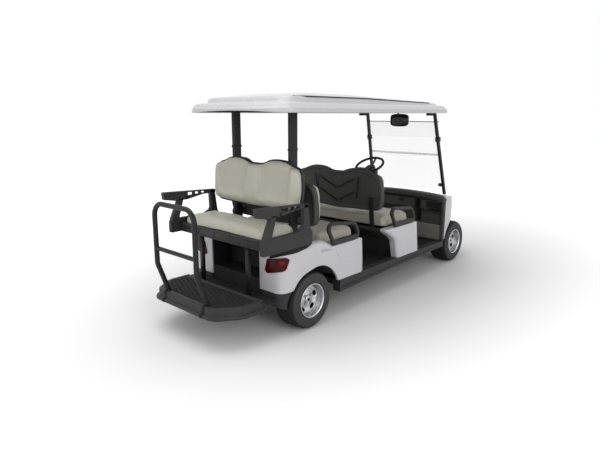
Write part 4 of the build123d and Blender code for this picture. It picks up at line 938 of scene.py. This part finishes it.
ARCH_TURN = 102.5                                # where the arch's rear arc hands over to the front one, in degrees
ARCH_LINE = np.concatenate([
    np.stack([x + radius * np.cos(turn), z + radius * np.sin(turn)], 1)[first:]
    for x, z, radius, turn, first in (
        (REAR_AXLE, TYRE_R, 0.2465, np.radians(np.linspace(148, ARCH_TURN, 24)), 0),
        (REAR_AXLE + 0.075, 0.222, 0.2695, np.radians(np.linspace(ARCH_TURN, 20, 40)), 1))
])
CREASES = (((-0.765, 0.572), (-0.738, 0.532), (-0.7, 0.501), (-0.66, 0.491), (-0.56, 0.488), (-0.412, 0.487)),
           ((0.165, 0.478), (0.3, 0.475), (0.488, 0.47)))


def on_side(line, y):
    """A flat line (x, z) stood up at a distance from the middle."""
    return grid_of(line[:, 0], y, line[:, 1])


edges = []
for side in SIDES:
    path = on_side(ARCH_LINE, side * 0.5735)
    edges.append(sweep(f"arch_{side}", rounded_box(0.005, 0.007, 0.0022, 4), path, BODY, up=(0, 1, 0)))
    for crease in CREASES:
        path = on_side(curve(crease, 30), side * 0.5752)
        edges.append(sweep(f"crease_{side}_{crease[0][0]}", disc_of(0.0022, 10), path, BODY, up=(0, 1, 0)))
edges = joined("body_rolled_edges", edges)


def tail_corner(side, out, rear, corner, count, past_y, past_x):
    """The body's plan outline round one rear corner, ordered from the middle outwards and kept past two limits."""
    line = even_outline([(-1.0, side * out, 0.001), (rear, side * out, corner), (rear, side * 0.3, 0.001),
                         (-1.0, side * 0.3, 0.001)], count)
    line = line[(np.abs(line[:, 1]) > past_y) & (line[:, 0] < past_x)]
    return line[np.argsort(line[:, 0] + np.abs(line[:, 1]))]


def upright(line, low, high, rows):
    """A plan line risen to a wall of rows between a low and a high edge."""
    share = np.linspace(0, 1, rows)[None, :]
    return grid_of(line[:, :1], line[:, 1:], low + (high - low) * share)


# Black strip on the body round each rear corner, under the tray's side: painted shade of the gap between tray and body.
TRAY_FLOOR = 0.6825
tray_shade = []
for side in SIDES:
    line = tail_corner(side, 0.5765, -1.3445, 0.121, 400, 0.4, -1.075)
    low = np.interp(line[:, 0] + np.abs(line[:, 1]), (-0.945, -0.82, -0.75, -0.63, -0.54, -0.5),
                    (0.594, 0.63, 0.64, 0.65, 0.662, 0.68))[:, None]
    tray_shade.append(skin(f"gap_{side}", upright(line, low, TRAY_FLOOR, 4), MAT_AND_SHADE))
tray_shade = joined("tray_gap_painted_shade", tray_shade)
sheet(tray_shade, 0.0025)

inserts = []
for side in SIDES:
    line = tail_corner(side, 0.5858, -1.3543, 0.13, 900, 0.505, -1.322)
    low = np.linspace(0.556, 0.566, len(line))[:, None]
    inserts.append(skin(f"insert_{side}", upright(line, low, low + 0.036, 8), RED_INSERT))
inserts = joined("tail_lamp_inserts", inserts)
sheet(inserts, 0.0012)

# ---------------- black strips on the seat back shells: painted shade of their moulded grooves
GROOVE_LINES = [((way * ya, sa), (way * yb, sb)) for ya, sa, yb, sb in (
    (0.205, 0.287, 0.0, 0.19), (0.205, 0.162, 0.0, 0.066), (0.262, 0.315, 0.238, 0.105)) for way in (1, -1)]
GROOVE_OUT = -0.0068                             # behind the shell's rear face
groove_shade = []
for row in BACKS:
    for number, ((ya, sa), (yb, sb)) in enumerate(GROOVE_LINES):
        t = np.linspace(0, 1, 6)
        path = on_back(row, ya + (yb - ya) * t, sa + (sb - sa) * t, GROOVE_OUT)
        groove_shade.append(sweep(f"mark_{row}_{number}", rounded_box(0.016, 0.004, 0.0018, 3), path, MAT_AND_SHADE,
                           up=back_axes(row)[1][2]))
groove_shade = joined("back_shell_grooves_painted_shade", groove_shade)

# ---------------- windscreen fittings
KNEE, SCREEN_UP, SCREEN_OUT = np.array([1.261, 0, 0.855]), np.array([-0.2548, 0, 0.967]), np.array([0.967, 0, 0.2548])
CLIP_AT, LOW_CLIP_AT, TUBE_END = 0.553, 0.03, 0.79          # distances up the screen
HEAD_BAR = ((1.03, 1.639), (1.014, 1.6435), (0.985, 1.6445), (0.88, 1.6445))


def on_screen(y, up, out):
    """A point on the windscreen plane: across, up the screen from its knee, and forward of it."""
    return KNEE + np.array([0, y, 0]) + up * SCREEN_UP + out * SCREEN_OUT


def tube_y(up):
    """How far out a front tube stands: 470 mm at the knee, leaning in by 53 mm over the tube's length up the screen."""
    return 0.47 - 0.053 * up / 0.8635


fittings = []
for side in SIDES:
    clip = [on_screen(side * tube_y(CLIP_AT), CLIP_AT + s, -0.013) for s in (-0.022, 0.022)]
    fittings.append(sweep(f"clip_{side}", rounded_box(0.05, 0.044, 0.01), clip, DARK_AND_SHADE, up=(1, 0, 0)))
    low_clip = [on_screen(side * (tube_y(LOW_CLIP_AT) - y), LOW_CLIP_AT, 0.01) for y in (0.026, 0.074)]
    fittings.append(sweep(f"low_clip_{side}", rounded_box(0.02, 0.034, 0.006), low_clip, DARK_AND_SHADE))
    bar = [on_screen(side * tube_y(TUBE_END), s, -0.015) for s in (0.775, 0.8)]
    bar += [(x, side * tube_y(0.82), z) for x, z in HEAD_BAR]
    fittings.append(sweep(f"head_bar_{side}", rounded_box(0.026, 0.02, 0.006), bar, COATED, up=(0, 1, 0)))
trim = [on_screen(y, 0.737, 0.0025) for y in np.linspace(-0.452, 0.452, 9)]
fittings.append(sweep("top_trim", rounded_box(0.009, 0.008, 0.003), trim, DARK_AND_SHADE))
fittings = joined("windscreen_fittings", fittings)
hinge = [on_screen(y, 0.3765, 0.0028) for y in np.linspace(-0.446, 0.446, 9)]
hinge = sweep("windscreen_fold_strip", rounded_box(0.024, 0.0075, 0.003), hinge, FROSTED, up=SCREEN_OUT)
post_knobs = []
for side in SIDES:
    for face in SIDES:
        stem = [(-1.012 + face * a, side * 0.33, 1.38) for a in (0.036, 0.05)]
        post_knobs.append(sweep(f"post_knob_{side}_{face}", disc_of(0.01, 16), stem, DARK_AND_SHADE))
post_knobs = joined("post_knobs", post_knobs)

# ---------------- mirror
MIRROR_AT = np.array([0.981, -0.03, 1.583])
MIRROR_HOUSING = mm(  # half width, half height, depth
    (100, 56, 3), (104, 60, 0), (108, 64, 0), (111, 67, 3), (112, 68, 10), (108, 64, 22), (92, 52, 32), (60, 32, 37),
    (10, 8, 38))
MIRROR_PANE = mm((101, 57, 4), (101, 57, 1.5), (60, 40, 0.5), (10, 8, 0))


def mirror_ring(half_y, half_z, x, power=0.36, count=96):
    """A superellipse ring with slightly bowed top and bottom, standing across the cart."""
    turn = turns(count)
    y = half_y * squarish(np.cos(turn), power)
    z = half_z * squarish(np.sin(turn), power) * (1 - 0.12 * (y / half_y) ** 2)
    return MIRROR_AT + grid_of(x, y, z)


housing = tube("mirror_housing", [mirror_ring(*ring) for ring in MIRROR_HOUSING], DARK_AND_SHADE)
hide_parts("mirror")
pane = tube("mirror_pane", [mirror_ring(*ring) for ring in MIRROR_PANE], MIRROR)
stalk = [(1.0, -0.004, z) for z in (1.64, 1.686)]
sweep("mirror_stalk", disc_of(0.009, 16), stalk, DARK_AND_SHADE, up=(1, 0, 0))

# ---------------- steering wheel
HUB = np.array([0.866, 0.26, 1.085])
COLUMN = np.array([-0.46947, 0.0, 0.88295])
WHEEL_X, WHEEL_Y = np.array([0.0, 1.0, 0.0]), np.array([-0.88295, 0.0, -0.46947])
RIM_CENTRE, SPOKES = 0.157, (-90, 30, 150)
HUB_LINE = mm((0, -60), (52, -60), (56, -54), (57, -34), (55, -24), (46, -17), (24, -13.5), (0, -13))


def on_wheel(radius, turn, lift):
    """Polar place in the steering wheel's plane, lifted along the column."""
    across, back = radius * np.cos(turn), radius * np.sin(turn)
    return HUB + grid_of(across, back, lift) @ np.array([WHEEL_X, WHEEL_Y, COLUMN])


turn, around = np.meshgrid(turns(160), turns(18), indexing="ij")
grip = 0.0135 + 0.0009 * np.cos(40 * turn) * ease(-np.sin(around - 0.6), 0.0, 0.8)
points = on_wheel(RIM_CENTRE + grip * np.cos(around), turn, grip * np.sin(around))
rim = skin("steering_rim", points, MAT_AND_SHADE, "steering", close_u=True, close_v=True)
spokes = []
for angle in SPOKES:
    t = np.linspace(0, 1, 7)
    path = on_wheel(0.03 + 0.118 * t, math.radians(angle), -0.026 + 0.026 * ease(t, 0.15, 0.95))
    spokes.append(sweep(f"spoke_{angle}", rounded_box(0.024, 0.008, 0.003), path, DARK_AND_SHADE, "steering", up=COLUMN))
turn = turns(48)[:, None]
radius, lift = HUB_LINE.T
hub = skin("wheel_hub", on_wheel(radius, turn, lift), DARK_AND_SHADE, "steering", close_u=True)
steering = joined("steering_wheel_moulding", [weld(rim)] + spokes + [weld(hub)])
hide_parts("steering_wheel")

# ---------------- floor mats
MAT_HALF, MAT_RIM, RIB_PITCH = 0.492, 0.012, 0.018
for name, x0, x1 in (("front", 0.552, 1.05), ("mid", -0.392, -0.01)):
    y, x = np.meshgrid(np.linspace(-MAT_HALF, MAT_HALF, 383), np.linspace(x0, x1, 12))
    edge = ease(MAT_HALF - np.abs(y), 0.0, MAT_RIM) * ease(x, x0, x0 + MAT_RIM) * ease(-x, -x1, -x1 + MAT_RIM)
    z = 0.3065 + 0.0025 * edge * ease(np.cos(2 * np.pi * y / RIB_PITCH), -0.2, 0.5)
    mat = skin(f"floor_mat_{name}", grid_of(x, y, z), MAT_AND_SHADE)
    sheet(mat, 0.0015)

# ---------------- rear arms, tray sides and struts
frame_low, frame_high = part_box("rear_seat_frame")
DECK = frame_high[2] - 0.344
STRUT_X, STRUT_Y = REAR_AXLE - 0.39, 0.28
HINGE_X, HINGE_Z, PIN_IN, PIN_R = REAR_AXLE - 0.42, DECK + 0.08, 0.44, 0.006
ARM_T, ROUND_RIM, THIN_RIM = 0.04, 0.004, 0.0015             # an arm's thickness, and the chamfers of its parts
BEAM_TOP = HINGE_Z - 0.003
ARM_OUTLINES = {  # chamfer, then x from the rear axle, height above the deck and corner radius
    "tray": (ROUND_RIM, mm((-508, 0, 4), (4, 0, 10), (4, 100, 20), (-18, 135, 20), (-43, 317, 4), (-92, 317, 4),
                           (-88, 150, 24), (-150, 120, 24), (-496, 112, 10), (-508, 90, 8))),
    "strut": (ROUND_RIM, mm((-500, 108, 4), (-424, 108, 4), (-370, 280, 4), (-420, 280, 4))),
    "rail_low": (THIN_RIM, mm((-345, 262, 3), (-300, 268, 30), (-176, 289, 40), (-36, 292, 6), (-36, 301, 3),
                              (-345, 291, 3))),
    "rail_nose": (ROUND_RIM, mm((-566, 344, 8), (-327, 333.5, 3), (-327, 262, 3), (-450, 262, 20), (-560, 282, 8))),
    "rail_top": (THIN_RIM, mm((-345, 333.5, 2), (-36, 320, 5), (-36, 312, 3), (-345, 322, 2))),
    "rail_end": (ROUND_RIM, mm((-140, 323, 3), (-36, 320, 6), (-36, 295, 4), (-140, 295, 3))),
    "bar_a": (THIN_RIM, mm((-267, 326, 2), (-256, 325.5, 2), (-252, 291, 2), (-263, 290, 2))),
    "bar_b": (THIN_RIM, mm((-203, 324, 2), (-192, 323.5, 2), (-188, 294, 2), (-199, 293, 2))),
}


def flat_part(name, outline, y_low, y_high, bevel):
    """A flat outline (x, z, corner radius) given thickness across the cart, with its rim chamfered on both faces."""
    line = even_outline(outline, 150)
    area = np.sum(line[:, 0] * np.roll(line[:, 1], -1) - np.roll(line[:, 0], -1) * line[:, 1])
    out = outward(line) * np.sign(area)
    levels = ((bevel, y_low), (0.0, y_low + bevel), (0.0, y_high - bevel), (bevel, y_high))
    return tube(name, [on_side(line - inset * out, y) for inset, y in levels], DARK_AND_SHADE)


arms = []
for side in SIDES:
    y0, y1 = sorted((side * (BODY_HALF - ARM_T), side * BODY_HALF))
    for label, (bevel, outline) in ARM_OUTLINES.items():
        arms.append(flat_part(f"{label}_{side}", outline + (REAR_AXLE, DECK, 0), y0, y1, bevel))
    post = [(STRUT_X, side * STRUT_Y, z) for z in (frame_low[2], DECK + 0.002)]
    arms.append(sweep(f"post_{side}", rounded_box(0.03, 0.035, 0.005), post, COATED, up=(0, 1, 0)))
    pin = [(HINGE_X, side * y, HINGE_Z) for y in (PIN_IN, BODY_HALF - 0.035)]
    arms.append(sweep(f"pin_{side}", disc_of(PIN_R, 20), pin, COATED))
for x in (STRUT_X, HINGE_X + 0.32):
    beam = [(x, y, (DECK + BEAM_TOP) / 2) for y in (0.02 - BODY_HALF, BODY_HALF - 0.02)]
    arms.append(sweep(f"beam_{x}", rounded_box(0.04, BEAM_TOP - DECK, 0.004), beam, DARK_AND_SHADE))
arms = joined("rear_arm_mouldings", arms)
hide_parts("rear_seat_frame")


# ---------------- studio
def seen_plainly(tree):
    """1 for camera, glossy and transmission rays, 0 for the rays that light things."""
    path = add(tree, "LightPath").outputs
    seen = add(tree, "Math", {0: path["Is Camera Ray"], 1: path["Is Glossy Ray"]}, operation="MAXIMUM")
    return add(tree, "Math", {0: seen.outputs[0], 1: path["Is Transmission Ray"]}, operation="MAXIMUM").outputs[0]


def studio_surface(name, shade, camera_share):
    """Matt studio paper that takes the cart's shadow, and glows to plain white away from it for rays that see it."""
    material = bpy.data.materials.new(name)
    material.use_nodes = True
    tree = material.node_tree
    shader = tree.nodes["Principled BSDF"]
    for socket, value in (("Base Color", linear(shade)), ("Roughness", 0.9), ("Specular IOR Level", 0.0),
                          ("Emission Color", (1, 1, 1, 1))):
        shader.inputs[socket].default_value = value
    place = add(tree, "TexCoord").outputs["Object"]
    flat = add(tree, "VectorMath", {0: place, 1: (0.62, 1.0, 1.0)}, operation="MULTIPLY").outputs["Vector"]
    away = add(tree, "VectorMath", {0: flat}, operation="LENGTH").outputs["Value"]
    share = add(tree, "MapRange", {"Value": away, "From Min": 1.0, "From Max": 3.4, "To Max": camera_share})
    glow = add(tree, "Math", {0: seen_plainly(tree), 1: share.outputs["Result"]}, operation="MULTIPLY")
    tree.links.new(glow.outputs[0], shader.inputs["Emission Strength"])
    return material


FLOOR_HALF, AMBIENT = 30, 0.5
floor_mesh = bpy.data.meshes.new("studio_floor")
floor_mesh.from_pydata([(x * FLOOR_HALF, y * FLOOR_HALF, 0) for x, y in ((-1, -1), (1, -1), (1, 1), (-1, 1))],
                       [], [(0, 1, 2, 3)])
floor = new_object("studio_floor", floor_mesh)
floor_mesh.materials.append(studio_surface("studio_paper", "f4f4f4", 0.62))

world = bpy.data.worlds.new("studio")
bpy.context.scene.world = world
world.use_nodes = True
sky = world.node_tree
backdrop = sky.nodes["Background"]
level = add(sky, "MapRange", {"Value": seen_plainly(sky), "To Min": AMBIENT, "To Max": 1.0})
backdrop.inputs["Color"].default_value = (1, 1, 1, 1)
sky.links.new(level.outputs["Result"], backdrop.inputs["Strength"])


def softbox(name, place, target, size, power):
    """A large square area light aimed at a point."""
    lamp = bpy.data.lights.new(name, "AREA")
    lamp.shape, lamp.size, lamp.energy = "SQUARE", size, power
    holder = new_object(name, lamp)
    holder.location = place
    holder.rotation_euler = (Vector(target) - Vector(place)).to_track_quat("-Z", "Y").to_euler()


softbox("overhead_softbox", (-1.5, 0.8, 5.5), (0, 0, 0.6), 4.5, 112)
softbox("side_softbox", (-2.5, -6.5, 3.2), (0, 0, 0.7), 4.0, 122)
softbox("rear_softbox", (-7.0, 0.5, 2.6), (-1.0, 0, 0.8), 3.0, 62)

camera = new_object("camera", bpy.data.cameras.new("camera"))
bpy.context.scene.camera = camera
camera.location = (-3.866, -3.031, 1.646)
camera.rotation_euler = (math.radians(90 - 12.09), 0, math.radians(42.59 - 90))
camera.data.lens, camera.data.sensor_width = 30.39, 36.0
camera.data.shift_x, camera.data.shift_y = -0.0003, -0.0038
bpy.context.scene.view_settings.view_transform = "Standard"
